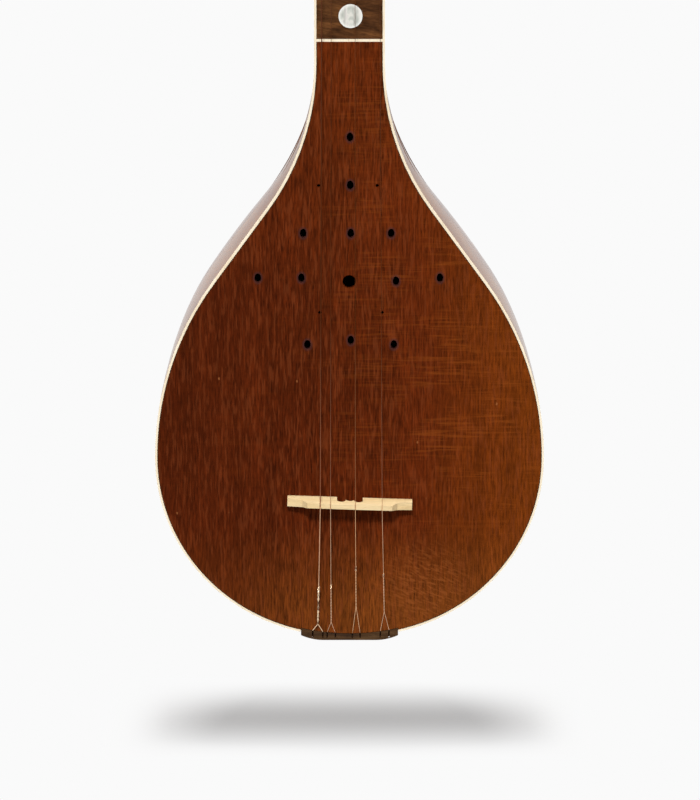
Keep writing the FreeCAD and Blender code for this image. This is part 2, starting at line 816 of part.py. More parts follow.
SHAFT_SIDES = 24
BORE_MARGIN = 3
for name, place, kind, *_ in STRINGS:
    seat, grip = peg_seat(place, kind)
    sections = []
    for along in (-grip - BORE_MARGIN, BORE_MARGIN):
        # the flats of the bore clear the corners of the shaft
        radius = (shaft_radius(along, grip) + size("peg_play")) / math.cos(math.pi / SHAFT_SIDES)
        if kind == "front":
            corners = ring(seat.x, seat.z, radius, SHAFT_SIDES)
            sketch = add_sketch(neck, "bore_outline_" + name, "XZ_Plane", loop(corners))
            sketch.AttachmentOffset.Base.z = along - seat.y
        else:
            corners = ring(seat.y, seat.z, radius, SHAFT_SIDES)
            sketch = add_sketch(neck, "bore_outline_" + name, "YZ_Plane", loop(corners))
            sketch.AttachmentOffset.Base.z = seat.x - along
        sections.append(sketch)
    add_feature(neck, "SubtractiveLoft", "bore_" + name, sections[0], Sections=sections[1:], Ruled=True)
doc.recompute()


# Nut with a slot for each string

nut = new_body("nut")
nut_outline = add_sketch(
    nut,
    "nut_outline",
    "YZ_Plane",
    [
        line(board, nut_height, board, nut_top),
        line(board, nut_top, -size("nut_rise") / 2, nut_top),
        arc_through(
            (-size("nut_rise") / 2, nut_top),
            (-size("nut_rise"), nut_height + size("nut_thickness") / 2),
            (-size("nut_rise"), nut_height),
        ),
        line(-size("nut_rise"), nut_height, board, nut_height),
    ],
)
add_feature(nut, "Pad", "nut_pad", nut_outline, Length="2 * nut_half_width", Midplane=True)


def wire_of(name):
    return size(name + "_wire")


slots = []
slot_floor = size("nut_slot_depth") - size("nut_rise")
for name, _, _, at_nut, *_ in STRINGS:
    half = wire_of(name) / 2 + size("wire_gap")
    slots += rectangle(at_nut - half, -2 * size("nut_rise"), at_nut + half, slot_floor)
cut(nut, "nut_slots", add_sketch(nut, "slot_outline", "XY_Plane", slots))


# Bridge: two feet, a scalloped cut-out between them, a thin ridge with string notches

bridge = new_body("bridge")
half = size("bridge_length") / 2
rise = size("bridge_rise")
end_rise = size("bridge_end_rise")
ridge = size("bridge_ridge_half")
foot = -size("bridge_gap")
arch = size("arch_width") / 2
arch_top = foot - size("arch_rise")
cusp = (arch / 3, foot - size("arch_rise") * 0.6)
spring = (arch, foot - size("arch_rise") * 0.75)
# where the sloping step between the low end and the ridge starts, and how high
step_foot = ridge + size("bridge_step")
step_rise = end_rise * 1.35
right_half = [
    arc_through(spring, (arch * 0.7, arch_top), cusp),
    line(arch, foot, spring[0], spring[1]),
    line(arch, foot, half, foot),
    line(half, foot, half, -end_rise),
    arc_through((half, -end_rise), ((half + step_foot) / 2, -end_rise * 1.1), (step_foot, -step_rise)),
    line(step_foot, -step_rise, ridge, -rise),
]


def mirrored_curves(curves):
    found = []
    for curve in curves:
        points = [curve.value(curve.FirstParameter), curve.value(curve.LastParameter)]
        if isinstance(curve, Part.LineSegment):
            found.append(line(-points[0].x, points[0].y, -points[1].x, points[1].y))
        else:
            middle = curve.value((curve.FirstParameter + curve.LastParameter) / 2)
            through = [(-point.x, point.y) for point in (points[0], middle, points[1])]
            found.append(arc_through(*through))
    return found


bridge_outline = right_half + mirrored_curves(right_half)
middle_rise = foot - size("arch_rise") * 0.8
bridge_outline.append(arc_through((-cusp[0], cusp[1]), (0, middle_rise), cusp))
bridge_outline.append(line(ridge, -rise, -ridge, -rise))
sketch = add_sketch(bridge, "bridge_outline", "XY_Plane", bridge_outline)
add_feature(bridge, "Pad", "bridge_pad", sketch, Length="bridge_foot", Midplane=True)
foot_half = size("bridge_foot") / 2
ridge_half = size("bridge_ridge") / 2
shoe = -size("bridge_end_rise") / 3
beyond = -2 * rise
taper = []
for side in (1, -1):
    taper += loop(
        [
            (shoe, side * foot_half),
            (-rise, side * ridge_half),
            (beyond, side * ridge_half),
            (beyond, side * 2 * foot_half),
            (shoe, side * 2 * foot_half),
        ]
    )
cut(bridge, "bridge_taper", add_sketch(bridge, "taper_outline", "YZ_Plane", taper))
notches = []
for name, _, _, _, at_bridge, *_ in STRINGS:
    wide = wire_of(name) / 2 + 3 * size("wire_gap")
    x = at_bridge - size("bridge_shift")
    notches += rectangle(x - wide, beyond, x + wide, size("bridge_notch") - rise)
cut(bridge, "bridge_notches", add_sketch(bridge, "notch_outline", "XY_Plane", notches))
bind(bridge, "Placement.Base.x", "bridge_shift")
bind(bridge, "Placement.Base.z", "bridge_place")
bridge.Placement.Rotation = Rotation(Vector(0, 1, 0), size("bridge_tilt"))


# Tailpiece: a block on the end of the bowl, let into the front, with a tooth for each string

tailpiece = new_body("tailpiece")
turn_up = size("tail_curl")


def tail_outline(top_radius):
    top = tail_angle(tail_half, top_radius)
    corner = on_circle(end_center, top_radius, top)
    flat = size("tail_flat")
    # an arc that leaves the flat foot without a kink
    curl_radius = ((tail_half - flat) ** 2 + turn_up**2) / (2 * turn_up)
    half_turn = math.asin((tail_half - flat) / curl_radius) / 2
    curl = (flat + curl_radius * math.sin(half_turn), curl_radius * (1 - math.cos(half_turn)))
    right = [
        arc_through((flat, 0), curl, (tail_half, turn_up)),
        line(tail_half, turn_up, tail_half, corner[1]),
    ]
    upper = arc(end_center, top_radius, -math.pi - top, top)
    return right + mirrored_curves(right) + [line(-flat, 0, flat, 0), upper]


seat_curve = tail_outline(end_radius - size("tail_seat"))
seat_outline = add_sketch(tailpiece, "seat_outline", "XZ_Plane", seat_curve)
add_feature(tailpiece, "Pad", "seat_pad", seat_outline, Length="soundboard_thickness", Reversed=True)
plate_curve = tail_outline(end_radius + size("glue_gap"))
plate_outline = add_sketch(tailpiece, "plate_outline", "XZ_Plane", plate_curve)
add_feature(tailpiece, "Pad", "plate_pad", plate_outline, Length="tail_depth", Reversed=True)
tail_back = size("tail_depth")
thinned = loop([(tail_back * 0.65, 0), (tail_back, 0), (tail_back, size("tail_overhang") / 2)])
cut(tailpiece, "plate_thinned", add_sketch(tailpiece, "thinning", "YZ_Plane", thinned))
slots = []
slot_half = size("tail_slot") / 2
for _, _, _, _, _, tooth, spread, *_ in STRINGS:
    for x in (tooth - spread, tooth + spread):
        slots += rectangle(x - slot_half, size("tail_groove"), x + slot_half, 2 * tail_half)
cut(tailpiece, "tail_slots", add_sketch(tailpiece, "slot_outline", "XZ_Plane", slots), "tail_slot_depth")
groove = rectangle(size("tail_lip"), -1, size("tail_slot_depth"), size("tail_groove"))
groove_sketch = add_sketch(tailpiece, "groove_outline", "YZ_Plane", groove)
doc.recompute()
groove_cut = add_feature(tailpiece, "Pocket", "tail_groove_cut", groove_sketch, Midplane=True)
bind(groove_cut, "Length", "2 * (tail_half_width - 3 * tail_slot)")


# Pegs: tapered shaft, collar, carved handle, a hole for the string

# The handle from the front and from the side: half width or half thickness, place along it
HANDLE_FRONT = [(0.32, 0), (0.27, 0.16), (0.45, 0.33), (0.82, 0.46)]
HANDLE_FRONT += [(1, 0.6), (0.94, 0.76), (0.68, 0.91), (0.3, 1)]
HANDLE_SIDE = [(0.6, 0), (0.52, 0.16), (1, 0.55), (0.85, 0.8), (0.4, 1)]


def peg(name, place, kind, turn):
    seat, grip = peg_seat(place, kind)
    neck_end = size("peg_neck")
    body = new_body("peg_" + name)
    ends = []
    for along in (-grip - size("peg_tip"), neck_end):
        corners = ring(0, 0, shaft_radius(along, grip), SHAFT_SIDES)
        sketch = add_sketch(body, "shaft_outline_" + name, "XY_Plane", loop(corners))
        sketch.AttachmentOffset.Base.z = along
        ends.append(sketch)
    add_feature(body, "AdditiveLoft", "shaft_" + name, ends[0], Sections=ends[1:], Ruled=True)
    collar = loop(ring(0, 0, size("peg_collar"), 12))
    sketch = add_sketch(body, "collar_outline_" + name, "XY_Plane", collar, "peg_neck")
    add_feature(body, "Pad", "collar_" + name, sketch, Length="peg_collar_height")
    start = neck_end + size("peg_collar_height")
    wide = size("peg_handle_half")
    thick = size("peg_handle_thickness") / 2
    length = size("peg_handle")
    right = [(wide * across, start + length * share) for across, share in HANDLE_FRONT]
    outline = loop(right + [(-x, z) for x, z in right[::-1]])
    sketch = add_sketch(body, "handle_outline_" + name, "XZ_Plane", outline)
    add_feature(body, "Pad", "handle_" + name, sketch, Length="peg_handle_thickness", Midplane=True)
    shaved = []
    for side in (1, -1):
        edge = [(side * thick * deep, start + length * share) for deep, share in HANDLE_SIDE]
        outside = [(side * wide, edge[-1][1] + 1), (side * wide, start)]
        above = [(edge[-1][0], edge[-1][1] + 1)]
        shaved += loop(edge + above + outside)
    cut(body, "shaving_" + name, add_sketch(body, "shaving_outline_" + name, "YZ_Plane", shaved))
    hole = ring(0, size("winding_gap") + wire_of(name), 1.1 * wire_of(name) + 0.1, 6)
    cut(body, "string_hole_" + name, add_sketch(body, "hole_outline_" + name, "YZ_Plane", loop(hole)))
    spin = Rotation(Vector(0, 0, 1), turn)
    body.Placement = Placement(seat, FRAMES[kind] * spin)
    return body


for name, place, kind, *_, turn in STRINGS:
    peg(name, place, kind, turn)
doc.recompute()


# Wire: strings and the windings on the pegs

def wire_section(center, direction, diameter, sides=4):
    """A many-sided wire section, square to the wire's direction."""
    direction = Vector(direction)
    direction.normalize()
    first = direction.cross(Vector(0, 1, 0) if abs(direction.y) < 0.9 else Vector(1, 0, 0))
    first.normalize()
    second = direction.cross(first)
    # the flats lie half a diameter out on average
    radius = diameter / 2 * math.sqrt(2 * math.pi / (sides * math.sin(2 * math.pi / sides)))
    points = []
    for corner in range(sides):
        turn = 2 * math.pi * corner / sides
        points.append(center + first * (radius * math.cos(turn)) + second * (radius * math.sin(turn)))
    return Part.makePolygon(points + points[:1])


def turned_tangent(start, tangent, end):
    """Direction at the end of the arc that leaves its start along a tangent."""
    chord = end - start
    chord.normalize()
    return chord * (2 * tangent.dot(chord)) - tangent


def tangent_arc(start, tangent, end):
    chord = end - start
    length = chord.Length
    chord.normalize()
    aside = tangent - chord * tangent.dot(chord)
    aside.normalize()
    half_turn = math.acos(max(-1, min(1, tangent.dot(chord))))
    middle = (start + end) * 0.5 + aside * (length / 2 * math.tan(half_turn / 2))
    return Part.Arc(start, middle, end).toShape()


def biarc(start, tangent, end, end_tangent):
    """Two arcs that join two points along given directions."""
    gap = end - start
    both = tangent + end_tangent
    spread = 2 * (1 - tangent.dot(end_tangent))
    reach = (-gap.dot(both) + math.sqrt(gap.dot(both) ** 2 + spread * gap.dot(gap))) / spread
    meet = (start + end + (tangent - end_tangent) * reach) * 0.5
    return [
        tangent_arc(start, tangent, meet),
        tangent_arc(meet, turned_tangent(start, tangent, meet), end),
    ]


def winding_layout(name, place, kind, at_nut, hand):
    """Where a string meets its peg: radius of the winding, its outer height, angle, point in space."""
    seat, grip = peg_seat(place, kind)
    wire = wire_of(name)
    start = size("winding_gap") + wire
    pitch = wire + size("winding_gap")
    outer = start + size("winding_turns") * pitch
    radius = shaft_radius(outer, grip) + wire / 2 + size("wire_gap")
    y_nut = slot_floor - wire / 2 - size("wire_gap")
    if kind == "front":
        away = (at_nut - seat.x, nut_top - seat.z)
    else:
        away = (-(y_nut - seat.y), nut_top - seat.z)
    base = math.atan2(away[1], away[0])
    angle = base + hand * math.acos(radius / math.hypot(*away))
    local = Vector(radius * math.cos(angle), radius * math.sin(angle), outer)
    return radius, outer, pitch, angle, seat + FRAMES[kind].multVec(local)


def winding(name, place, kind, at_nut, hand):
    """The turns of a string on its peg, from the string's last straight run to its hole."""
    radius, outer, pitch, angle, _ = winding_layout(name, place, kind, at_nut, hand)

    def spot(turns):
        turn = angle + hand * 2 * math.pi * turns
        return Vector(radius * math.cos(turn), radius * math.sin(turn), outer - pitch * turns)

    def heading(turns):
        turn = angle + hand * 2 * math.pi * turns
        rate = hand * 2 * math.pi * radius
        direction = Vector(-rate * math.sin(turn), rate * math.cos(turn), -pitch)
        direction.normalize()
        return direction

    halves = int(2 * size("winding_turns"))
    edges = []
    for step in range(halves):
        a, b = step / 2, (step + 1) / 2
        edges += biarc(spot(a), heading(a), spot(b), heading(b))
    path = Part.Wire(edges)
    section = wire_section(spot(0), heading(0), wire_of(name))
    tube = path.makePipeShell([section], True, False)
    points = [spot(step / 48) for step in range(halves * 24 + 1)]
    gap = min(
        (a - b).Length
        for i, a in enumerate(points)
        for b in points[i + 24 :]
    )
    print("winding_%s least gap to itself %.2f mm" % (name, gap - wire_of(name)))
    thing = plain_object("winding_" + name, tube)
    seat, _ = peg_seat(place, kind)
    thing.Placement = Placement(seat, FRAMES[kind])
    return thing


def run(points, diameter):
    """A wire through points, with mitred bends."""
    path = Part.makePolygon(points)
    section = wire_section(points[0], points[1] - points[0], diameter)
    return path.makePipeShell([section], True, False, 1)


def rod(start, end, diameter):
    """A straight many-sided rod, for the twisted part of a tail loop."""
    face = Part.Face(wire_section(start, end - start, diameter))
    return face.extrude(end - start)


# The legs of a tail loop: air over the front at its end, height above its edge, fall into the slot
LEG_AIR = 0.55
LEG_RISE = 0.35
LEG_FALL = 1.7


def string(name, place, kind, at_nut, at_bridge, tooth, spread, apex, bead, hand, _):
    """A string from its tail loop over bridge and nut to just short of its winding."""
    wire = wire_of(name)
    lift = wire / 2 + size("wire_gap")
    seat_z = end_center[1] - math.sqrt((end_radius - size("tail_seat")) ** 2 - tooth**2)
    entry = Vector(tooth, -wire / 2 - LEG_AIR, seat_z + LEG_RISE)
    tilt = math.tan(math.radians(size("bridge_tilt")))
    crest = Vector(
        at_bridge,
        size("bridge_notch") - rise - lift,
        size("bridge_place") - ridge_half - (at_bridge - size("bridge_shift")) * tilt,
    )
    at_apex = entry + (crest - entry) * ((apex - entry.z) / (crest.z - entry.z))
    at_bead = entry + (crest - entry) * ((bead - entry.z) / (crest.z - entry.z))
    over_nut = Vector(at_nut, slot_floor - lift, nut_top)
    radius, _, _, _, meeting = winding_layout(name, place, kind, at_nut, hand)
    stop = math.sqrt((radius + wire + size("peg_string_gap")) ** 2 - radius**2)
    final = over_nut - meeting
    final = meeting + final * (stop / final.Length)
    groove_y = (size("tail_lip") + size("tail_slot_depth")) / 2
    low = size("tail_groove") - lift
    ahead = crest - entry
    ahead.normalize()
    strand = []
    for side in (-1, 1):
        x = tooth + side * spread
        top = end_center[1] - math.sqrt((end_radius - size("tail_seat")) ** 2 - x**2)
        hidden = at_apex + ahead * (2 * wire) + Vector(side * 0.55 * wire, 0, 0)
        leg = [
            hidden,
            Vector(x, entry.y, top + LEG_RISE),
            Vector(x, groove_y, top - LEG_FALL),
            Vector(x, groove_y, low),
        ]
        strand += leg if side < 0 else leg[::-1]
    twist = rod(at_apex, at_bead + ahead * wire, 2.3 * wire)
    knot = rod(at_bead, at_bead + ahead * (4 * wire), 3.2 * wire)
    main = run([at_bead + ahead * (2 * wire), crest, over_nut, final], wire)
    whole = knot.multiFuse([main, twist, run(strand, wire)])
    return plain_object("string_" + name, whole)


for name, place, kind, at_nut, *_, hand, turn in STRINGS:
    winding(name, place, kind, at_nut, hand)
for row in STRINGS:
    string(*row)


# Gut frets, tied round neck and fingerboard; each can be slid to tune it

FRET_CENTS = [90, 140, 200, 290, 340, 400, 500, 560, 610, 700, 790, 840, 900]
FRET_CENTS += [990, 1040, 1100, 1200, 1290, 1340, 1400, 1490, 1540, 1600, 1700, 1800]


for number, cents in enumerate(FRET_CENTS, start=1):
    height = nut_height - size("scale_length") * (1 - 2 ** (-cents / 1200))
    low = height - size("fret_width") / 2
    lowest = low - 3
    half = neck_width_at(lowest)
    share = (lowest - joint_height) / (nut_top - joint_height)
    depth = joint_depth + (nut_depth - joint_depth) * share
    body = new_body("fret_%02d" % number)
    around = [(half, 0)] + neck_points(half, depth) + [(-half, 0)]
    play = size("fret_play")
    edges = loop(grown(around, play)) + loop(grown(around, play + size("fret_gut")))
    sketch = add_sketch(body, "gut_%02d" % number, "XY_Plane", edges)
    sketch.AttachmentOffset.Base.z = low
    add_feature(body, "Pad", "tied_%02d" % number, sketch, Length="fret_width")
doc.recompute()

for thing in doc.Objects:
    if "Invalid" in thing.State or "Error" in thing.State:
        raise ValueError(thing.Label + " did not recompute")

INNER = ("neck_blank", "mortise")
parts = []
for thing in doc.Objects:
    is_part = thing.TypeId in ("Part::Feature", "Part::Cylinder", "Part::Cut", "PartDesign::Body")
    if is_part and thing.Label not in INNER:
        parts.append(thing)
for thing in parts:
    if thing.Shape.isNull() or not thing.Shape.isValid():
        raise ValueError(thing.Label + " has no valid shape")

os.makedirs("parts", exist_ok=True)
for thing in parts:
    thing.Shape.exportStep("parts/" + thing.Label + ".step")
print(len(parts), "parts")
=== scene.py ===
import math
import bmesh
import bpy
from mathutils import Matrix, Vector


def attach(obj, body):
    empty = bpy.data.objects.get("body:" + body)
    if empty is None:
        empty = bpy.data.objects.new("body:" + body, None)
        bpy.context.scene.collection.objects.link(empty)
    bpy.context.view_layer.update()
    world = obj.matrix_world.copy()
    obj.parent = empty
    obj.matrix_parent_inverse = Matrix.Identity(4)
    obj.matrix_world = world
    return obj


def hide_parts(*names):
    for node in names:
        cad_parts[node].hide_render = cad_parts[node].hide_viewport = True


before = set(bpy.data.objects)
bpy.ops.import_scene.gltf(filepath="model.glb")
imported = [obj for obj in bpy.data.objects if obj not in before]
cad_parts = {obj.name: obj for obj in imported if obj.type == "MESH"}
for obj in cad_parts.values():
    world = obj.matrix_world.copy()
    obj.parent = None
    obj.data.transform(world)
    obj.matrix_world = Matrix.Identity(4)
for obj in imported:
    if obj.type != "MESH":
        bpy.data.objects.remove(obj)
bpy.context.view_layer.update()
print("frame loaded:", len(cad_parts), "nodes")

mm = 0.001
scene = bpy.context.scene
scene.view_settings.view_transform = "Standard"


def paint(text):  # sRGB hex to linear colour
    channels = [int(text[i:i + 2], 16) / 255 for i in (1, 3, 5)]
    return [c / 12.92 if c <= 0.04045 else ((c + 0.055) / 1.055) ** 2.4 for c in channels] + [1.0]


def addNode(tree, kind, inputs=None, stops=None, **settings):  # a node with its settings and links
    node = tree.nodes.new(kind if kind.startswith(("Geometry", "Node")) else "ShaderNode" + kind)
    for name, value in settings.items():
        setattr(node, name, value)
    for name, value in (inputs or {}).items():
        named = [s for s in node.inputs if s.enabled and s.name == name]
        socket = node.inputs[name] if isinstance(name, int) else named[0]
        if isinstance(value, bpy.types.Node):
            value = next(s for s in value.outputs if s.enabled)
        if isinstance(value, bpy.types.NodeSocket):
            tree.links.new(value, socket)
        else:
            socket.default_value = value
    for number, (place, colour) in enumerate(stops or []):
        elements = node.color_ramp.elements
        element = elements[number] if number < len(elements) else elements.new(place)
        element.position, element.color = place, paint(colour)
    return node


def newMaterial(name):  # an empty material, its tree and the place on the object, which patterns follow
    material = bpy.data.materials.new(name)
    material.use_nodes = True
    tree = material.node_tree
    tree.nodes.clear()
    return material, tree, addNode(tree, "TexCoord").outputs["Object"]


def perMm(across, along):  # a pattern's scale, from the size of its grain in mm
    return (1 / (across * mm), 1 / (across * mm), 1 / (along * mm))


# a texture of any kind, laid on the object at a scale of its own
def mapped(tree, kind, coords, scale, inputs, shift=(0, 0, 0), turn=(0, 0, 0), **settings):
    spot = addNode(tree, "Mapping", {"Vector": coords, "Location": shift, "Rotation": turn, "Scale": scale})
    return addNode(tree, kind, {"Vector": spot, "Scale": 1.0, **inputs}, **settings)


def finish(tree, height, bumpMm, inputs):  # relief, shader and output, which end every object material
    bump = addNode(tree, "Bump", {"Height": height, "Distance": bumpMm * mm, "Strength": 1.0})
    surface = addNode(tree, "BsdfPrincipled", {**inputs, "Normal": bump})
    addNode(tree, "OutputMaterial", {"Surface": surface})


def newTree(name, sockets):  # a geometry tree with named inputs
    tree = bpy.data.node_groups.new(name, "GeometryNodeTree")
    for socketName, kind in sockets:
        tree.interface.new_socket(name=socketName, in_out="INPUT", socket_type="NodeSocket" + kind)
    tree.interface.new_socket(name="Geometry", in_out="OUTPUT", socket_type="NodeSocketGeometry")
    return tree, addNode(tree, "NodeGroupInput").outputs


def endTree(tree, shape, material):  # real geometry with its material, which ends a geometry tree
    real = addNode(tree, "GeometryNodeRealizeInstances", {0: shape})
    coloured = addNode(tree, "GeometryNodeSetMaterial", {"Geometry": real, "Material": material})
    addNode(tree, "NodeGroupOutput", {0: coloured})


def useTree(piece, tree, values):  # inputs are set by identifier, before the first evaluation
    modifier = piece.modifiers.new(tree.name, "NODES")
    modifier.node_group = tree
    for item in tree.interface.items_tree:
        if item.item_type == "SOCKET" and item.in_out == "INPUT" and item.name in values:
            modifier[item.identifier] = values[item.name]


def newObject(name, data):
    piece = bpy.data.objects.new(name, data)
    scene.collection.objects.link(piece)
    return piece


def plainMesh(piece):  # what curves and modifiers make, as a mesh of its own
    evaluated = piece.evaluated_get(bpy.context.evaluated_depsgraph_get())
    mesh = bpy.data.meshes.new_from_object(evaluated)
    name = piece.name
    bpy.data.objects.remove(piece)
    mesh.polygons.foreach_set("use_smooth", [True] * len(mesh.polygons))
    return newObject(name, mesh)


def curveObject(name, runs, closed=False):  # straight runs through points given in mm
    data = bpy.data.curves.new(name, "CURVE")
    data.dimensions = "3D"
    for points in runs:
        spline = data.splines.new("POLY")
        spline.points.add(len(points) - 1)
        for spot, point in zip(spline.points, points):
            spot.co = (point[0] * mm, point[1] * mm, point[2] * mm, 1)
        spline.use_cyclic_u = closed
    return newObject(name, data)


def faceOutward(mesh):  # for closed meshes: merged, then turned so that every face points outwards
    work = bmesh.new()
    work.from_mesh(mesh)
    bmesh.ops.remove_doubles(work, verts=work.verts, dist=1e-7)
    bmesh.ops.recalc_face_normals(work, faces=work.faces)
    work.to_mesh(mesh)
    work.free()


def ringMesh(name, rings, material, sharpDegrees):  # closed skin through rings of points, in mm
    count = len(rings[0])
    faces = [tuple(range(count))[::-1], tuple(range((len(rings) - 1) * count, len(rings) * count))]
    for i in range(len(rings) - 1):
        for j in range(count):
            k = (j + 1) % count
            faces.append((i * count + j, i * count + k, (i + 1) * count + k, (i + 1) * count + j))
    mesh = bpy.data.meshes.new(name)
    mesh.from_pydata([tuple(Vector(v) * mm) for ring in rings for v in ring], [], faces)
    faceOutward(mesh)
    mesh.materials.append(material)
    mesh.polygons.foreach_set("use_smooth", [True] * len(mesh.polygons))
    mesh.set_sharp_from_angle(angle=math.radians(sharpDegrees))
    return newObject(name, mesh)


def seat(piece, body, slotName, *nodes):  # the piece's body, a material slot name that is not used, and the nodes it stands for
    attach(piece, body)
    if nodes:
        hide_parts(*nodes)


# the photograph's camera: in front of the bowl, a little above it, looking down
view = {"x": 0.2, "distance": 1500, "height": 472.2, "tiltDegrees": 13.83, "lens": 169.6}
cameraData = bpy.data.cameras.new("frontCamera")
cameraData.lens = view["lens"]
cameraData.sensor_width = 36
cameraData.clip_start, cameraData.clip_end = 0.05, 60
camera = newObject("frontCamera", cameraData)
camera.location = (view["x"] * mm, -view["distance"] * mm, view["height"] * mm)
camera.rotation_euler = (math.radians(90 - view["tiltDegrees"]), 0, 0)
scene.camera = camera


usualWood = {"turn": (0, 0, 0), "swirl": 0.0, "sway": 0.2, "poreMm": (0.5, 2), "poreDepth": 0.4,
             "coat": 0.0, "coatRoughness": 0.2, "bumpMm": 0.02}


def woodLayers(tree, coords, wood):  # colour and relief of a plain wood, its grain along Z once turned
    turned = addNode(tree, "Mapping", {"Vector": coords, "Rotation": wood["turn"]})
    broadSize = (wood["broadMm"], wood.get("broadLongMm", 5 * wood["broadMm"]))
    noises = []
    for size, detail, roughness, sway in (
            (broadSize, 2.0, 0.5, wood["swirl"]), (wood["grainMm"], 4.0, 0.6, wood["sway"]),
            (wood["poreMm"], 1.0, 0.5, 0.0)):
        noises.append(mapped(tree, "TexNoise", turned, perMm(*size), {
            "Detail": detail, "Roughness": roughness, "Distortion": sway}))
    broad, grain, pore = noises
    tone = addNode(tree, "ValToRGB", {"Fac": broad}, stops=wood["tones"])
    shade = addNode(tree, "MapRange", {
        "Value": grain, "From Min": 0.3, "From Max": 0.7,
        "To Min": 1 - wood["contrast"], "To Max": 1 + wood["contrast"]})
    grained = addNode(tree, "Mix", {"Factor": 1.0, "A": tone, "B": shade},
                      data_type="RGBA", blend_type="MULTIPLY")
    pores = addNode(tree, "MapRange", {
        "Value": pore, "From Min": 0.58, "From Max": 0.7, "To Max": wood["poreDepth"]})
    pored = addNode(tree, "Mix", {"Factor": pores, "A": grained, "B": paint(wood["poreTone"])},
                    data_type="RGBA")
    relief = addNode(tree, "Math", {0: grain, 1: pores}, operation="SUBTRACT")
    return pored, grain, relief


def woodSurface(tree, wood, colour, grain, relief):
    rough = addNode(tree, "MapRange", {
        "Value": grain, "From Min": 0.3, "From Max": 0.7,
        "To Min": wood["roughness"] - 0.06, "To Max": wood["roughness"] + 0.06})
    finish(tree, relief, wood["bumpMm"], {
        "Base Color": colour, "Roughness": rough, "IOR": 1.5, "Specular IOR Level": wood["shine"],
        "Coat Weight": wood["coat"], "Coat Roughness": wood["coatRoughness"]})


def plainWood(name, own):
    wood = {**usualWood, **own}
    material, tree, coords = newMaterial(name)
    woodSurface(tree, wood, *woodLayers(tree, coords, wood))
    return material


# oiled mulberry front: red-brown and darker to the left, lighter and more orange to the right, the difference
# painted light from the right and painted sheen; short dark and light threads along the grain, silky cross
# figure right of the middle, a few bright specks
front = {
    **usualWood, "tones": [(0.3, "#531f09"), (0.7, "#68280b")], "middleTone": "#63260c",
    "broadMm": 7, "broadLongMm": 70, "grainMm": (0.7, 7), "contrast": 0.62, "sway": 0.15,
    "poreMm": (0.7, 4), "poreDepth": 0.45, "poreTone": "#360e04", "roughness": 0.55, "shine": 0.02,
    # the left-to-right ramp: darker left and lighter right, painted light from the right and painted sheen
    "across": [(0.0, "#4c1b06"), (0.42, "#521e07"), (0.68, "#5c2308"), (0.88, "#672d08"), (1.0, "#6c3109")],
    "driftMm": (1000 / 45, 1000 / 14), "driftReach": 24, "middleX": -6,
    # each fade: what it follows, where it starts and ends in mm, and its strength there
    "fades": {
        "share": ("drifted", -63, 87, 0, 1), "upward": ("Z", 150, 235, 0, 0.85),
        # the fade towards the right paints the lower right lighter: painted light from the right
        "downward": ("Z", 50, 14, 0, 1), "rightward": ("X", -50, 0, 0.25, 0.85),
        "middle": ("fromMiddle", 18, 42, 1, 0.8),
        "rightOf": ("drifted", -6, 44, 0.1, 1), "above": ("Z", 40, 75, 0.1, 1),
        "near": ("fromFlecks", 24, 8, 0, 0.6)},
    # each pattern: its size across and along in mm, detail, sway, the part of it that shows, its strength
    "patterns": {
        "thread": ((0.8, 7), 1, 0, (0.52, 0.66), 0.3), "figure": ((15, 0.8), 2, 0.25, (0.48, 0.66), 0.42),
        "patch": ((1000 / 60, 1000 / 90), 2, 0, (0.4, 0.62), 1),
        "fleck": ((3.6, 1.0), 2, 0.4, (0.47, 0.62), 1)},
    "offLattice": (0.3, 0.5, 0.7),  # the flat front would otherwise lie in a weak plane of the noise
    "fleckAt": (31, 0, 22), "fleckLean": -24, "speckMm": (13, 13 / 0.6), "speck": (0.042, 0.025, 0.55),
    "holes": [(0.2, 212), (0.3, 192.3), (-18.8, 172.5), (0.5, 172.5), (16.9, 172.5), (-37.3, 154),
              (-19.6, 154), (36.8, 154), (18.9, 152.7), (0.5, 128), (-17.2, 126.2), (18.1, 126.2)],
    "rimMm": (2.3, 3.0), "rim": (1.0, 0.6, 0.6),
    # each tone and the fades and patterns it is laid on through; the one without a tone is the grain
    "layers": [("upward", "#622709"), ("downward rightward", "#743c13"), ("", None),
               ("thread middle", "#84401f"), ("figure patch rightOf above", "#8a4415"),
               ("fleck near", "#8b4a20"), ("speck", "#a8683a"), ("rim", "#3b2a2c")],
}


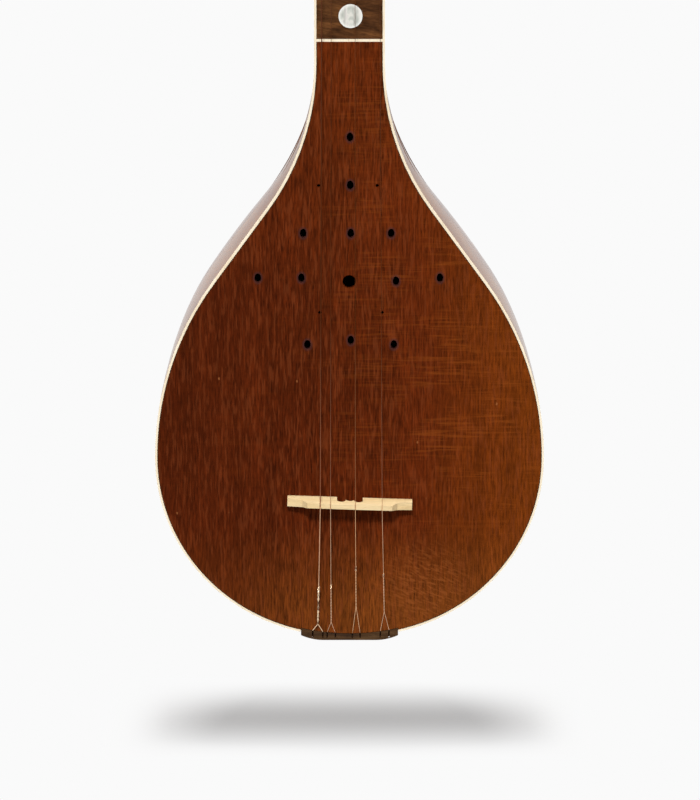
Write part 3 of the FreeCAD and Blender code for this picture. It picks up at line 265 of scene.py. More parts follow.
def frontWood():
    material, tree, coords = newMaterial("oiledMulberryFront")
    pored, grain, relief = woodLayers(tree, coords, front)
    place = addNode(tree, "SeparateXYZ", {0: coords}).outputs
    drift = mapped(tree, "TexNoise", coords, perMm(*front["driftMm"]), {"Detail": 2.0})
    fromMiddle = addNode(tree, "Math", {0: place["X"], 1: front["middleX"] * mm}, operation="SUBTRACT")
    fromFlecks = addNode(tree, "VectorMath", {
        0: coords, 1: [c * mm for c in front["fleckAt"]]}, operation="DISTANCE")
    followed = {
        "X": place["X"], "Z": place["Z"], "fromFlecks": fromFlecks.outputs["Value"],
        "fromMiddle": addNode(tree, "Math", {0: fromMiddle}, operation="ABSOLUTE"),
        "drifted": addNode(tree, "Math", {
            0: drift, 1: front["driftReach"] * mm, 2: place["X"]}, operation="MULTIPLY_ADD"),
    }
    masks = {}
    for key, (source, start, end, least, most) in front["fades"].items():
        masks[key] = addNode(tree, "MapRange", {
            "Value": followed[source], "From Min": start * mm, "From Max": end * mm,
            "To Min": least, "To Max": most})
    leaning = addNode(tree, "Mapping", {
        "Vector": coords, "Rotation": (0, math.radians(front["fleckLean"]), 0)})
    for key, (size, detail, sway, (low, high), most) in front["patterns"].items():
        vector, shift = (leaning, (0, 0, 0)) if key == "fleck" else (coords, front["offLattice"])
        noise = mapped(tree, "TexNoise", vector, perMm(*size), {
            "Detail": detail, "Distortion": sway}, shift=shift)
        masks[key] = addNode(tree, "MapRange", {
            "Value": noise, "From Min": low, "From Max": high, "To Max": most})
    speck = mapped(tree, "TexVoronoi", coords, perMm(*front["speckMm"]), {}).outputs["Distance"]
    nearest = None
    rimX, rimZ = front["rimMm"]
    for x, z in front["holes"]:  # the wood is scorched grey round each drilled hole
        centred = addNode(tree, "Mapping", {
            "Vector": coords, "Location": (-x / rimX, 0, -z / rimZ),
            "Scale": (1 / (rimX * mm), 0, 1 / (rimZ * mm))})
        reach = addNode(tree, "VectorMath", {0: centred}, operation="LENGTH").outputs["Value"]
        nearest = reach if nearest is None else addNode(
            tree, "Math", {0: nearest, 1: reach}, operation="MINIMUM")
    for key, distance in (("speck", speck), ("rim", nearest)):
        low, high, most = front[key]
        masks[key] = addNode(tree, "MapRange", {
            "Value": distance, "From Min": low, "From Max": high, "To Max": most})
    # the grain's shade, carried over by dividing the plain layers' own middle tone out
    shade = addNode(tree, "Mix", {"Factor": 1.0, "A": pored, "B": paint(front["middleTone"])},
                    data_type="RGBA", blend_type="DIVIDE")
    shade = addNode(tree, "RGBToBW", {"Color": shade})
    shade = addNode(tree, "Mix", {"Factor": masks["middle"], "A": 1.0, "B": shade}, data_type="FLOAT")
    # the board starts from the left-to-right ramp of painted light
    board = addNode(tree, "ValToRGB", {"Fac": masks["share"]}, stops=front["across"])
    for names, tone in front["layers"]:
        factor = 1.0
        for number, name in enumerate(names.split()):
            factor = masks[name] if number == 0 else addNode(
                tree, "Math", {0: factor, 1: masks[name]}, operation="MULTIPLY")
        board = addNode(tree, "Mix", {"Factor": factor, "A": board, "B": paint(tone) if tone else shade},
                        data_type="RGBA", blend_type="MIX" if tone else "MULTIPLY")
    woodSurface(tree, front, board, grain, relief)
    return material


mulberryFront = frontWood()

# figured walnut fingerboard, scraped and oiled: dark brown and cloudy, its wavering lines run across
walnutBoard = plainWood("oiledWalnut", {
    "tones": [(0.32, "#3a2211"), (0.5, "#50311a"), (0.68, "#664022")], "broadMm": 4.5, "broadLongMm": 14,
    "swirl": 0.9, "turn": (0, 1.4, 0), "grainMm": (0.9, 6), "contrast": 0.42, "sway": 0.8,
    "poreMm": (0.6, 2), "poreTone": "#2a1608", "roughness": 0.5, "shine": 0.03})

# walnut neck, rubbed smooth by the hand: a soft gloss over brown streaks
walnutNeck = plainWood("rubbedWalnut", {
    "tones": [(0.3, "#38200f"), (0.5, "#4e2f18"), (0.7, "#604028")], "broadMm": 12, "swirl": 0.5,
    "grainMm": (1.3, 50), "contrast": 0.3, "poreMm": (0.5, 5), "poreTone": "#26130a",
    "roughness": 0.4, "shine": 0.25, "coat": 0.12, "coatRoughness": 0.25})

# mulberry ribs, scraped and varnished: brown wood under a gloss that picks up the pale room
ribPale, ribDeep = (plainWood("varnishedMulberry" + tag, {
    "tones": tones, "broadMm": 14, "grainMm": (1.1, 45), "contrast": 0.25, "sway": 0.3,
    "poreMm": (0.6, 5), "poreDepth": 0.3, "poreTone": "#3c1a0b",
    "roughness": 0.32, "shine": 0.5, "coat": 0.5, "coatRoughness": 0.12, "bumpMm": 0.01})
    for tag, tones in (("Pale", [(0.3, "#6f3d1d"), (0.5, "#80502b"), (0.7, "#8c5c30")]),
                       ("Deep", [(0.3, "#582c14"), (0.5, "#683a1c"), (0.7, "#744424")])))

# rosewood pegs, turned, carved and polished: near black with red-brown veins
rosewood = plainWood("polishedRosewood", {
    "tones": [(0.3, "#1d0e09"), (0.5, "#35180e"), (0.7, "#4c2616")], "broadMm": 4, "swirl": 0.8,
    "grainMm": (0.8, 16), "contrast": 0.35, "poreMm": (0.4, 2.5), "poreTone": "#120804",
    "roughness": 0.3, "shine": 0.4, "coat": 0.25, "coatRoughness": 0.15, "bumpMm": 0.01})

# boxwood bridge, knifed and left bare: pale straw with faint lines along its length
boxwood = plainWood("bareBoxwood", {
    "tones": [(0.3, "#d3b482"), (0.5, "#dfc391"), (0.7, "#e6cd9f")], "broadMm": 7,
    "turn": (0, math.pi / 2, 0), "grainMm": (0.7, 16), "contrast": 0.1, "poreDepth": 0.15,
    "poreTone": "#b08a58", "roughness": 0.55, "shine": 0.15, "bumpMm": 0.01})

# tailpiece of dark hardwood, sawn and left dull
darkTail = plainWood("sawnHardwood", {
    "tones": [(0.3, "#32231a"), (0.5, "#493320"), (0.7, "#5d452d")], "broadMm": 5, "swirl": 0.6,
    "turn": (0, math.pi / 2, 0), "grainMm": (0.8, 12), "contrast": 0.3, "poreTone": "#24170f",
    "roughness": 0.65, "shine": 0.03})

# raw spruce inside the bowl, straight off the plane
rawSpruce = plainWood("planedSpruce", {
    "tones": [(0.3, "#b98a58"), (0.7, "#c79c6a")], "broadMm": 18, "grainMm": (1.5, 80), "contrast": 0.15,
    "poreMm": (0.6, 5), "poreDepth": 0.15, "poreTone": "#8a6238", "roughness": 0.7, "shine": 0.2})
print("woods ready")


def boneMaterial(name, bone):  # bone: cream, cloudy, with faint darker threads
    material, tree, coords = newMaterial(name)
    cloud = mapped(tree, "TexNoise", coords, (150, 150, 60), {"Detail": 3.0})
    tone = addNode(tree, "ValToRGB", {"Fac": cloud}, stops=bone["tones"])
    thread = mapped(tree, "TexNoise", coords, (1800, 1800, 200), {"Detail": 2.0})
    threads = addNode(tree, "MapRange", {"Value": thread, "From Min": 0.55, "From Max": 0.75, "To Max": 0.4})
    colour = addNode(tree, "Mix", {"Factor": threads, "A": tone, "B": paint(bone["thread"])},
                     data_type="RGBA")
    finish(tree, thread, 0.01, {"Base Color": colour, "Roughness": bone["roughness"], "IOR": 1.54})
    return material


creamBone = boneMaterial("sawnBone", {
    "tones": [(0.3, "#ecdabb"), (0.7, "#f6e9d0")], "thread": "#bd9c6c", "roughness": 0.5})
nutBone = boneMaterial("polishedBone", {
    "tones": [(0.3, "#e6dabd"), (0.7, "#f3ecd8")], "thread": "#c4ab80", "roughness": 0.25})

# mother-of-pearl, ground flat: silvery grey that drifts to green and rose, with growth lines and a painted
# highlight round its rim
pearl, tree, coords = newMaterial("groundPearl")
cloud = mapped(tree, "TexNoise", coords, (420, 420, 160), {"Detail": 3.0, "Distortion": 1.0})
tone = addNode(tree, "ValToRGB", {"Fac": cloud}, stops=[
    (0.3, "#b0b3aa"), (0.42, "#c3c5bc"), (0.54, "#dcdad1"), (0.66, "#d2ccc8"), (0.8, "#bec4bb")])
growth = mapped(tree, "TexWave", coords, (95, 95, 22), {"Distortion": 4.0, "Detail": 2.0},
                bands_direction="X")
lines = addNode(tree, "MapRange", {"Value": growth, "From Min": 0.8, "From Max": 0.98, "To Max": 0.5})
lined = addNode(tree, "Mix", {"Factor": lines, "A": tone, "B": paint("#a5a59c")}, data_type="RGBA")
# the rim is painted brighter: a painted highlight
fromMiddle = addNode(tree, "VectorMath", {0: coords, 1: (0.4 * mm, 0, 261 * mm)}, operation="DISTANCE")
rimHighlight = addNode(tree, "MapRange", {
    "Value": fromMiddle.outputs["Value"], "From Min": 3.4 * mm, "From Max": 4.6 * mm, "To Max": 0.8})
colour = addNode(tree, "Mix", {"Factor": rimHighlight, "A": lined, "B": paint("#f0efe8")}, data_type="RGBA")
finish(tree, cloud, 0.02, {
    "Base Color": colour, "Roughness": 0.3, "IOR": 1.53, "Specular IOR Level": 0.3})

# twisted gut: honey-coloured, faintly ridged by its twist
gut, tree, coords = newMaterial("twistedGut")
cloud = mapped(tree, "TexNoise", coords, (700, 700, 700), {"Detail": 3.0})
tone = addNode(tree, "ValToRGB", {"Fac": cloud}, stops=[(0.3, "#b98c4c"), (0.5, "#d0ab6a"), (0.7, "#dfc18a")])
twist = mapped(tree, "TexWave", coords, (300, 300, 300), {"Distortion": 1.0}, turn=(0.6, 0.3, 0.8),
               bands_direction="DIAGONAL")
finish(tree, twist, 0.03, {"Base Color": tone, "Roughness": 0.42, "IOR": 1.5, "Specular IOR Level": 0.4})


def wireMaterial(name, wire):  # drawn wire: dark where it turns into the tailpiece, a painted highlight up to the bridge, painted shade from there up over the neck, its own colour on the head
    material, tree, coords = newMaterial(name)
    place = addNode(tree, "SeparateXYZ", {0: coords}).outputs
    tarnish = mapped(tree, "TexNoise", coords, (400, 400, 450), {"Detail": 4.0})
    upward = addNode(tree, "MapRange", {"Value": place["Z"], "From Max": 250 * mm})
    # painted light along the string: dark where it turns into the tailpiece, a painted highlight up to the
    # bridge, painted shade from the bridge up over the neck
    paintedShading = addNode(tree, "ValToRGB", {"Fac": upward}, stops=[
        (0.012, wire["dark"]), (0.018, wire["twist"]), (0.09, wire["twist"]), (0.11, wire["bright"]),
        (0.235, wire["bright"]), (0.25, wire["paintedShading"]), (0.55, wire["dark"])])
    blotch = addNode(tree, "MapRange", {
        "Value": tarnish, "From Min": 0.46, "From Max": 0.6, "To Max": wire.get("blotch", 0.15)})
    tone = addNode(tree, "Mix", {"Factor": blotch, "A": paintedShading, "B": paint(wire["dark"])}, data_type="RGBA")
    beyond = addNode(tree, "MapRange", {"Value": place["Z"], "From Min": 400 * mm, "From Max": 690 * mm})
    tone = addNode(tree, "Mix", {"Factor": beyond, "A": tone, "B": paint(wire["clean"])}, data_type="RGBA")
    rough = addNode(tree, "MapRange", {
        "Value": tarnish, "From Min": 0.3, "From Max": 0.7, "To Min": 0.28, "To Max": 0.45})
    relief = tarnish
    if "woundMm" in wire:  # close winding, drawn coarser than life so that it shows
        relief = mapped(tree, "TexWave", coords, perMm(wire["woundMm"], wire["woundMm"]), {"Scale": 0.5},
                        bands_direction="Z")
    finish(tree, relief, 0.02, {"Base Color": tone, "Metallic": 1.0, "Roughness": rough})
    return material


# the bright tone is a painted highlight below the bridge, the darker tones above it are painted shade, the
# clean tone is the wire's own colour, on the head
steelWire = wireMaterial("drawnSteel", {
    "twist": "#efc7a4", "bright": "#ecc09b", "paintedShading": "#a46f54", "dark": "#5a3019", "clean": "#c9c4bc"})
brassWire = wireMaterial("drawnBrass", {
    "twist": "#f3c79a", "bright": "#f0bf90", "paintedShading": "#ae754e", "dark": "#5e3216", "clean": "#d3aa5c"})
bronzeWire = wireMaterial("woundBronze", {
    "twist": "#f4d2ac", "bright": "#e0b18c", "paintedShading": "#9a6044", "dark": "#5a2e17", "clean": "#b9835a",
    "woundMm": 0.6})
scrapedWire = wireMaterial("scrapedWire", {  # knots, and the bass string's twist, scraped bright in places
    "twist": "#ffe6c4", "bright": "#ffe6c4", "paintedShading": "#ffe6c4", "dark": "#653a1f", "clean": "#ffe6c4",
    "blotch": 0.9})
wireOf = {"bass": bronzeWire, "zang": steelWire, "brass": brassWire, "steel": steelWire}
wireSlot = {"bass": "bronze_winding", "zang": "steel_wire", "brass": "brass_wire", "steel": "steel_wire"}
print("bone, pearl, gut and wire ready")

keptNodes = {
    "soundboard": mulberryFront, "edge_binding": creamBone, "joint_strip": creamBone,
    "fingerboard": walnutBoard, "pearl_dot": pearl, "nut": nutBone, "bridge": boxwood,
    "tailpiece": darkTail, "tail_block": rawSpruce, "neck_block": rawSpruce, "cross_brace": rawSpruce,
}
for nodeName, material in keptNodes.items():
    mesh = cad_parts[nodeName].data
    mesh.materials.clear()
    mesh.materials.append(material)
print("kept pieces finished:", len(keptNodes))


bowl = {
    "halfWidth": 80, "endShare": 1.1, "boutShare": 0.95, "shoulderShare": 1.575, "throatShare": 1.2625,
    "slopeDegrees": 36.1, "throatToJoint": 8.6, "overhang": 1.2, "startX": 3, "depth": 132, "board": 2.5,
    "ribs": 11, "thickness": 2.2, "sideFullness": 1.3, "rimSwell": 0.05, "shoulderSwell": 1.6,
    "neckHalf": 14.2, "along": 72, "across": 12, "groove": 0.25, "crowding": 0.155,
    "heart": (0, 30, 90), "sharpDegrees": 40,
}


def outlineRuns():  # right half of the front: arcs as (centre, radius, start, end), lines as two points
    half, neckHalf = bowl["halfWidth"], bowl["neckHalf"]
    endR, boutR = bowl["endShare"] * half, bowl["boutShare"] * half
    shoulderR, throatR = bowl["shoulderShare"] * half, bowl["throatShare"] * half
    slope = math.radians(bowl["slopeDegrees"])
    endZ = bowl["overhang"] + endR
    wideZ = endZ - math.sqrt((endR - boutR) ** 2 - (half - boutR) ** 2)
    boutTurn = math.atan2(wideZ - endZ, half - boutR)
    shoulderX = half - shoulderR
    shoulderEnd = (shoulderX + shoulderR * math.cos(slope), wideZ + shoulderR * math.sin(slope))
    run = (shoulderEnd[0] - neckHalf - throatR * (1 - math.cos(slope))) / math.sin(slope)
    throatStart = (shoulderEnd[0] - run * math.sin(slope), shoulderEnd[1] + run * math.cos(slope))
    throatX, throatTop = neckHalf + throatR, throatStart[1] + throatR * math.sin(slope)
    startTurn = -math.pi / 2 + math.asin(bowl["startX"] / endR)
    runs = [
        ((0, endZ), endR, startTurn, boutTurn), ((half - boutR, wideZ), boutR, boutTurn, 0),
        ((shoulderX, wideZ), shoulderR, 0, slope), (shoulderEnd, throatStart),
        ((throatX, throatTop), throatR, math.pi + slope, math.pi),
        ((neckHalf, throatTop), (neckHalf, throatTop + bowl["throatToJoint"])),
    ]
    return runs, wideZ, throatTop


outline, widestZ, throatZ = outlineRuns()
depthRatio = (bowl["depth"] - bowl["board"]) / bowl["halfWidth"]


def outlineStations(count, inset=0):  # (half width, height) at even steps, moved inward by the inset
    lengths = [math.dist(*r) if len(r) == 2 else abs(r[3] - r[2]) * r[1] for r in outline]
    found = []
    for step in range(count + 1):
        reach = sum(lengths) * step / count
        for run, length in zip(outline, lengths):
            if reach <= length + 1e-6:
                break
            reach -= length
        share = min(reach / length, 1)
        if len(run) == 2:
            a, b = run
            across, up = (b[0] - a[0]) / length, (b[1] - a[1]) / length
            found.append((a[0] + (b[0] - a[0]) * share - up * inset,
                          a[1] + (b[1] - a[1]) * share + across * inset))
        else:
            centre, radius, start, end = run
            turn = start + (end - start) * share
            reached = radius - inset if end > start else radius + inset
            found.append((centre[0] + reached * math.cos(turn), centre[1] + reached * math.sin(turn)))
    return found


def sectionPoint(half, swell, angle):  # a ray from the middle of the front meets the side or back arc
    depth = depthRatio * half
    side = bowl["sideFullness"] * depth
    middle = math.sqrt(2 * side * swell - swell ** 2)
    wide, rise = half + swell, depth - middle
    back = (wide ** 2 + rise ** 2 - 2 * side * wide) / (2 * (rise - side))
    sideCentre, backCentre = (wide - side, middle), (0, depth - back)
    share = side / math.dist(sideCentre, backCentre)
    meet = [s + (b - s) * share for s, b in zip(sideCentre, backCentre)]
    ray = (abs(math.cos(angle)), math.sin(angle))
    onSide = math.atan2(ray[1], ray[0]) < math.atan2(meet[1], meet[0])
    centre, radius = (sideCentre, side) if onSide else (backCentre, back)
    forward = ray[0] * centre[0] + ray[1] * centre[1]
    reach = forward + math.sqrt(forward ** 2 - (centre[0] ** 2 + centre[1] ** 2 - radius ** 2))
    return reach * math.copysign(ray[0], math.cos(angle)), reach * ray[1]


# ribs: one flat grid per rib, bent so that it runs along the outline and round the section
ribTree, given = newTree("bentRibs", [
    ("Geometry", "Geometry"), ("Rib Count", "Int"), ("Along", "Int"), ("Across", "Int"),
    ("Half Width", "Float"), ("Full Swell", "Float"), ("Board", "Float"), ("Groove", "Float"),
    ("Pale Wood", "Material"), ("Deep Wood", "Material")])
strip = addNode(ribTree, "GeometryNodeMeshGrid", {
    "Size X": 1.0, "Size Y": 1.0, "Vertices X": given["Along"], "Vertices Y": given["Across"]})
spots = addNode(ribTree, "GeometryNodeMeshLine", {
    "Count": given["Rib Count"], "Offset": (0, 1, 0)}, mode="OFFSET")
placed = addNode(ribTree, "GeometryNodeInstanceOnPoints", {"Points": spots, "Instance": strip})
strips = addNode(ribTree, "GeometryNodeRealizeInstances", {0: placed})
flat = addNode(ribTree, "SeparateXYZ", {0: addNode(ribTree, "GeometryNodeInputPosition")}).outputs
girth = addNode(ribTree, "Math", {0: flat["Y"], 1: 0.5}, operation="ADD")
ribNumber = addNode(ribTree, "Math", {
    0: addNode(ribTree, "Math", {0: girth}, operation="FLOOR"), 1: 2.0}, operation="MODULO")
marked = addNode(ribTree, "GeometryNodeStoreNamedAttribute", {
    "Geometry": strips, "Name": "deep", "Value": ribNumber}, data_type="FLOAT", domain="FACE")
# whole steps are rib edges; between them the steps crowd towards the edges, which are let in a little
ribTurn = addNode(ribTree, "Math", {0: girth, 1: 2 * math.pi}, operation="MULTIPLY")
crowd = addNode(ribTree, "Math", {0: ribTurn}, operation="SINE")
girth = addNode(ribTree, "Math", {0: crowd, 1: -bowl["crowding"], 2: girth}, operation="MULTIPLY_ADD")
girthShare = addNode(ribTree, "Math", {0: girth, 1: given["Rib Count"]}, operation="DIVIDE")
atEdge = addNode(ribTree, "Math", {
    0: addNode(ribTree, "Math", {0: ribTurn}, operation="COSINE"), 1: 0.999}, operation="GREATER_THAN")
runShare = addNode(ribTree, "Math", {0: flat["X"], 1: 0.5}, operation="ADD")
station = addNode(ribTree, "GeometryNodeSampleCurve", {
    "Curves": given["Geometry"], "Factor": runShare, "Curve Index": 0}, mode="FACTOR", use_all_curves=False)
# half width, swell and height of the outline
station = addNode(ribTree, "SeparateXYZ", {0: station.outputs["Position"]}).outputs
tight, full = (addNode(ribTree, "GeometryNodeSampleCurve", {
    "Curves": given["Geometry"], "Factor": girthShare, "Curve Index": number},
    mode="FACTOR", use_all_curves=False).outputs["Position"] for number in (1, 2))
widthShare = addNode(ribTree, "Math", {0: station["X"], 1: given["Half Width"]}, operation="DIVIDE")
section = addNode(ribTree, "VectorMath", {0: tight, "Scale": widthShare}, operation="SCALE")
swollen = addNode(ribTree, "VectorMath", {0: full, 1: tight}, operation="SUBTRACT")
swellShare = addNode(ribTree, "Math", {0: station["Y"], 1: given["Full Swell"]}, operation="DIVIDE")
swollen = addNode(ribTree, "VectorMath", {0: swollen, "Scale": swellShare}, operation="SCALE")
section = addNode(ribTree, "VectorMath", {0: section, 1: swollen}, operation="ADD")
letIn = addNode(ribTree, "Math", {
    0: addNode(ribTree, "Math", {0: atEdge, 1: given["Groove"]}, operation="MULTIPLY"),
    1: addNode(ribTree, "VectorMath", {0: section}, operation="LENGTH").outputs["Value"]}, operation="DIVIDE")
kept = addNode(ribTree, "Math", {0: 1.0, 1: letIn}, operation="SUBTRACT")
section = addNode(ribTree, "VectorMath", {0: section, "Scale": kept}, operation="SCALE")
base = addNode(ribTree, "CombineXYZ", {"Y": given["Board"], "Z": station["Z"]})
section = addNode(ribTree, "VectorMath", {0: section, 1: base}, operation="ADD")
bentRibs = addNode(ribTree, "GeometryNodeSetPosition", {"Geometry": marked, "Position": section})
smooth = addNode(ribTree, "GeometryNodeSetShadeSmooth", {0: bentRibs})
real = addNode(ribTree, "GeometryNodeRealizeInstances", {0: smooth})
pale = addNode(ribTree, "GeometryNodeSetMaterial", {"Geometry": real, "Material": given["Pale Wood"]})
isDeep = addNode(ribTree, "GeometryNodeInputNamedAttribute", {"Name": "deep"}, data_type="FLOAT")
deep = addNode(ribTree, "GeometryNodeSetMaterial", {
    "Geometry": pale, "Selection": isDeep, "Material": given["Deep Wood"]})
addNode(ribTree, "NodeGroupOutput", {0: deep})


def makeBowl():
    half, full = bowl["halfWidth"], bowl["rimSwell"] + bowl["shoulderSwell"]
    stations = []
    for width, height in outlineStations(bowl["along"] * 2):
        share = min(max((height - widestZ) / (throatZ - widestZ), 0), 1)
        low = bowl["rimSwell"] * min(2 * width / half, 1)
        stations.append((width, low + bowl["shoulderSwell"] * math.sin(math.pi * share) ** 2, height))
    turns = [math.pi * step / 180 for step in range(181)]
    tightSection = [(*sectionPoint(half, 0, turn), 0) for turn in turns]
    fullSection = [(*sectionPoint(half, full, turn), 0) for turn in turns]
    piece = curveObject("bowlRibs", [stations, tightSection, fullSection])
    useTree(piece, ribTree, {
        "Rib Count": bowl["ribs"], "Along": bowl["along"] + 1, "Across": bowl["across"] + 1,
        "Half Width": half * mm, "Full Swell": full * mm, "Board": bowl["board"] * mm,
        "Groove": bowl["groove"] * mm, "Pale Wood": ribPale, "Deep Wood": ribDeep})
    piece = plainMesh(piece)
    work = bmesh.new()
    work.from_mesh(piece.data)
    bmesh.ops.recalc_face_normals(work, faces=work.faces)
    heart = Vector(bowl["heart"]) * mm
    inward = [f for f in work.faces if f.normal.dot(f.calc_center_median() - heart) < 0]
    if len(inward) > len(work.faces) / 2:
        bmesh.ops.reverse_faces(work, faces=work.faces)
    work.to_mesh(piece.data)
    work.free()
    wall = piece.modifiers.new("wall", "SOLIDIFY")
    wall.thickness = bowl["thickness"] * mm
    wall.offset = -1
    piece = plainMesh(piece)
    piece.data.attributes.remove(piece.data.attributes["deep"])
    piece.data.set_sharp_from_angle(angle=math.radians(bowl["sharpDegrees"]))
    seat(piece, "lute", "bowl_wood", *["rib_%02d" % (n + 1) for n in range(bowl["ribs"])])


makeBowl()
print("bowl bent from", bowl["ribs"], "ribs")


# dark line between the front and its binding
edgeLine = {"inset": 1.05, "width": 0.36, "height": 0.3, "proud": 0.02, "fromX": 21.5, "aboveZ": 60,
            "steps": 160}
lineTree, given = newTree("inlaidLine", [
    ("Geometry", "Geometry"), ("Width", "Float"), ("Height", "Float"), ("Material", "Material")])
profile = addNode(lineTree, "GeometryNodeCurvePrimitiveQuadrilateral", {
    "Width": given["Width"], "Height": given["Height"]})
line = addNode(lineTree, "GeometryNodeCurveToMesh", {
    "Curve": given["Geometry"], "Profile Curve": profile, "Fill Caps": True})
endTree(lineTree, line, given["Material"])

right = [(x, z) for x, z in outlineStations(edgeLine["steps"], edgeLine["inset"])
         if x > edgeLine["fromX"] or z > edgeLine["aboveZ"]]
deepY = edgeLine["height"] / 2 - edgeLine["proud"]
piece = curveObject("edgeLine", [[(side * x, deepY, z) for x, z in right] for side in (1, -1)])
useTree(piece, lineTree, {
    "Width": edgeLine["width"] * mm, "Height": edgeLine["height"] * mm, "Material": darkTail})
piece = plainMesh(piece)
faceOutward(piece.data)
piece.data.polygons.foreach_set("use_smooth", [False] * len(piece.data.polygons))
seat(piece, "lute", "soundboard_wood")
print("edge line let in")


neck = {
    "jointZ": 250.7, "nutZ": 709.6, "nutTop": 713.6, "nutHalf": 13.2, "nutDepth": 18.5, "headLength": 112,
    "recess": 4, "bevel": 5, "soften": 0.5, "crown": 4, "crownShare": 0.78, "steps": 12, "backSteps": 28,
    "sharpDegrees": 32, "scaleLength": 650,
}


def neckBack(half, depth):  # the rounded back, from the right rim to the left one, behind the front board
    side = bowl["sideFullness"] * depth
    back = (half ** 2 + depth ** 2 - 2 * side * half) / (2 * (depth - side))
    sideCentre, backCentre = (half - side, 0), (0, depth - back)
    turn = math.atan2(backCentre[1] - sideCentre[1], backCentre[0] - sideCentre[0])
    rightSide = []
    for step in range(neck["backSteps"] // 2 + 1):
        angle = math.pi * step / neck["backSteps"]
        centre, radius = (sideCentre, side) if angle < turn else (backCentre, back)
        rightSide.append((centre[0] + radius * math.cos(angle),
                          bowl["board"] + centre[1] + radius * math.sin(angle)))
    return rightSide + [(-x, y) for x, y in rightSide[-2::-1]]


def neckHalfAt(height):
    share = (height - throatZ) / (neck["nutZ"] - throatZ)
    return bowl["neckHalf"] + (neck["nutHalf"] - bowl["neckHalf"]) * share


def neckDepthAt(height):
    jointDepth = depthRatio * bowl["neckHalf"]
    share = (height - neck["jointZ"]) / (neck["nutTop"] - neck["jointZ"])
    return jointDepth + (neck["nutDepth"] - jointDepth) * share


def makeNeck():
    rings = []
    for step in range(neck["steps"] + 1):
        height = neck["jointZ"] + (neck["nutTop"] - neck["jointZ"]) * step / neck["steps"]
        back = neckBack(neckHalfAt(min(height, neck["nutZ"])), neckDepthAt(height))
        edge = back[-1][0]
        face = [(edge * share, bowl["board"]) for share in (0.98, 0.6, -0.6, -0.98)]
        rings.append([(x, y, height) for x, y in back + face])
    low, high = neck["recess"] + neck["bevel"], neck["recess"]
    headBack = [(x, max(y, low)) for x, y in neckBack(neck["nutHalf"], neck["nutDepth"])]
    corner = headBack[-1][0] + neck["bevel"]
    soft = neck["soften"]
    section = headBack + [(corner - soft, high + soft), (corner, high), (-corner, high),
                          (soft - corner, high + soft)]
    top = neck["nutTop"] + neck["headLength"]
    middle = (high + bowl["board"] + neck["nutDepth"]) / 2
    crown = ((1, neck["nutTop"]), (1, top), (0.97, top + 0.8), (neck["crownShare"], top + neck["crown"]))
    for share, height in crown:
        rings.append([(x * share, middle + (y - middle) * share, height) for x, y in section])
    piece = ringMesh("neckAndHead", rings, walnutNeck, neck["sharpDegrees"])
    seat(piece, "lute", "neck_wood", "neck")


makeNeck()
print("neck and head made")


strings = {
    "bass": {"wire": 0.4, "peg": 62, "front": False, "nutX": -9.0, "bridgeX": -12.0, "tooth": -13.2,
             "spread": 2.1, "apex": 7.2, "bead": 21.5, "hand": 1, "handle": 25, "turns": 4.5},
    "zang": {"wire": 0.2, "peg": 24, "front": False, "nutX": -6.2, "bridgeX": -7.8, "tooth": -7.6,
             "spread": 1.7, "apex": 8.0, "bead": 23.5, "hand": 1, "handle": -20, "turns": 5.5},
    "brass": {"wire": 0.22, "peg": 42, "front": True, "nutX": 1.8, "bridgeX": 2.4, "tooth": 2.8,
              "spread": 1.6, "apex": 15.0, "bead": 31.5, "hand": -1, "handle": 12, "turns": 5.5},
    "steel": {"wire": 0.2, "peg": 84, "front": True, "nutX": 9.5, "bridgeX": 13.4, "tooth": 14.6,
              "spread": 1.8, "apex": 12.6, "bead": 28.5, "hand": 1, "handle": -15, "turns": 5.5},
}
pegs = {
    "radius": 4.0, "tipRadius": 3.2, "neck": 9, "collar": 5.4, "collarHeight": 1.2, "handle": 22,
    "half": 10, "thick": 4, "tip": 1.5, "sideX": 12.305, "sideY": 13, "windingGap": 0.46, "cadTurns": 2.5,
    "tipSoften": 0.5, "collarSoften": 0.3, "handleFullness": 2.6, "crown": (0.985, 0.6, 0.28),
    # outline of the handle, seen from its broad and its narrow side: half width and height, as shares
    "front": [(0.32, 0), (0.27, 0.16), (0.45, 0.33), (0.82, 0.46), (1, 0.6), (0.94, 0.76), (0.68, 0.91),
              (0.3, 1)],
    "side": [(0.6, 0), (0.52, 0.16), (0.75, 0.33), (0.92, 0.46), (1, 0.6), (0.88, 0.76), (0.66, 0.91),
             (0.4, 1)],
}
seats = {"gap": 0.05, "nutRise": 1.9, "slotDepth": 0.5, "bridgeZ": 59.6, "rise": 8.2, "notch": 0.5,
         "ridgeHalf": 1.0, "shift": 0.1, "tilt": 1.85, "tailSeat": 1.6, "slotY": 1.95, "groove": 0.9,
         "legAir": 0.55, "legRise": 0.35, "legFall": 1.7, "legJoin": 0.3, "legBend": 0.25,
         "nutRun": 3.5, "bend": 0.8}


def pegMatrix(row, turnDegrees=0):  # from a peg's own axis, which leaves the head along Z, to the lute
    height = neck["nutTop"] + row["peg"]
    if row["front"]:
        start, columns = (0, neck["recess"], height), ((1, 0, 0), (0, 0, 1), (0, -1, 0))
    else:
        start, columns = (-pegs["sideX"], pegs["sideY"], height), ((0, -1, 0), (0, 0, 1), (-1, 0, 0))
    axes = Matrix([[column[i] for column in columns] for i in range(3)]).to_4x4()
    return Matrix.Translation(start) @ axes @ Matrix.Rotation(math.radians(turnDegrees), 4, "Z")


def grip(row):  # how deep the head is along the peg
    return bowl["board"] + neck["nutDepth"] - neck["recess"] if row["front"] else 2 * pegs["sideX"]


def shaftRadius(along, row):
    return pegs["radius"] + (pegs["radius"] - pegs["tipRadius"]) * along / grip(row)


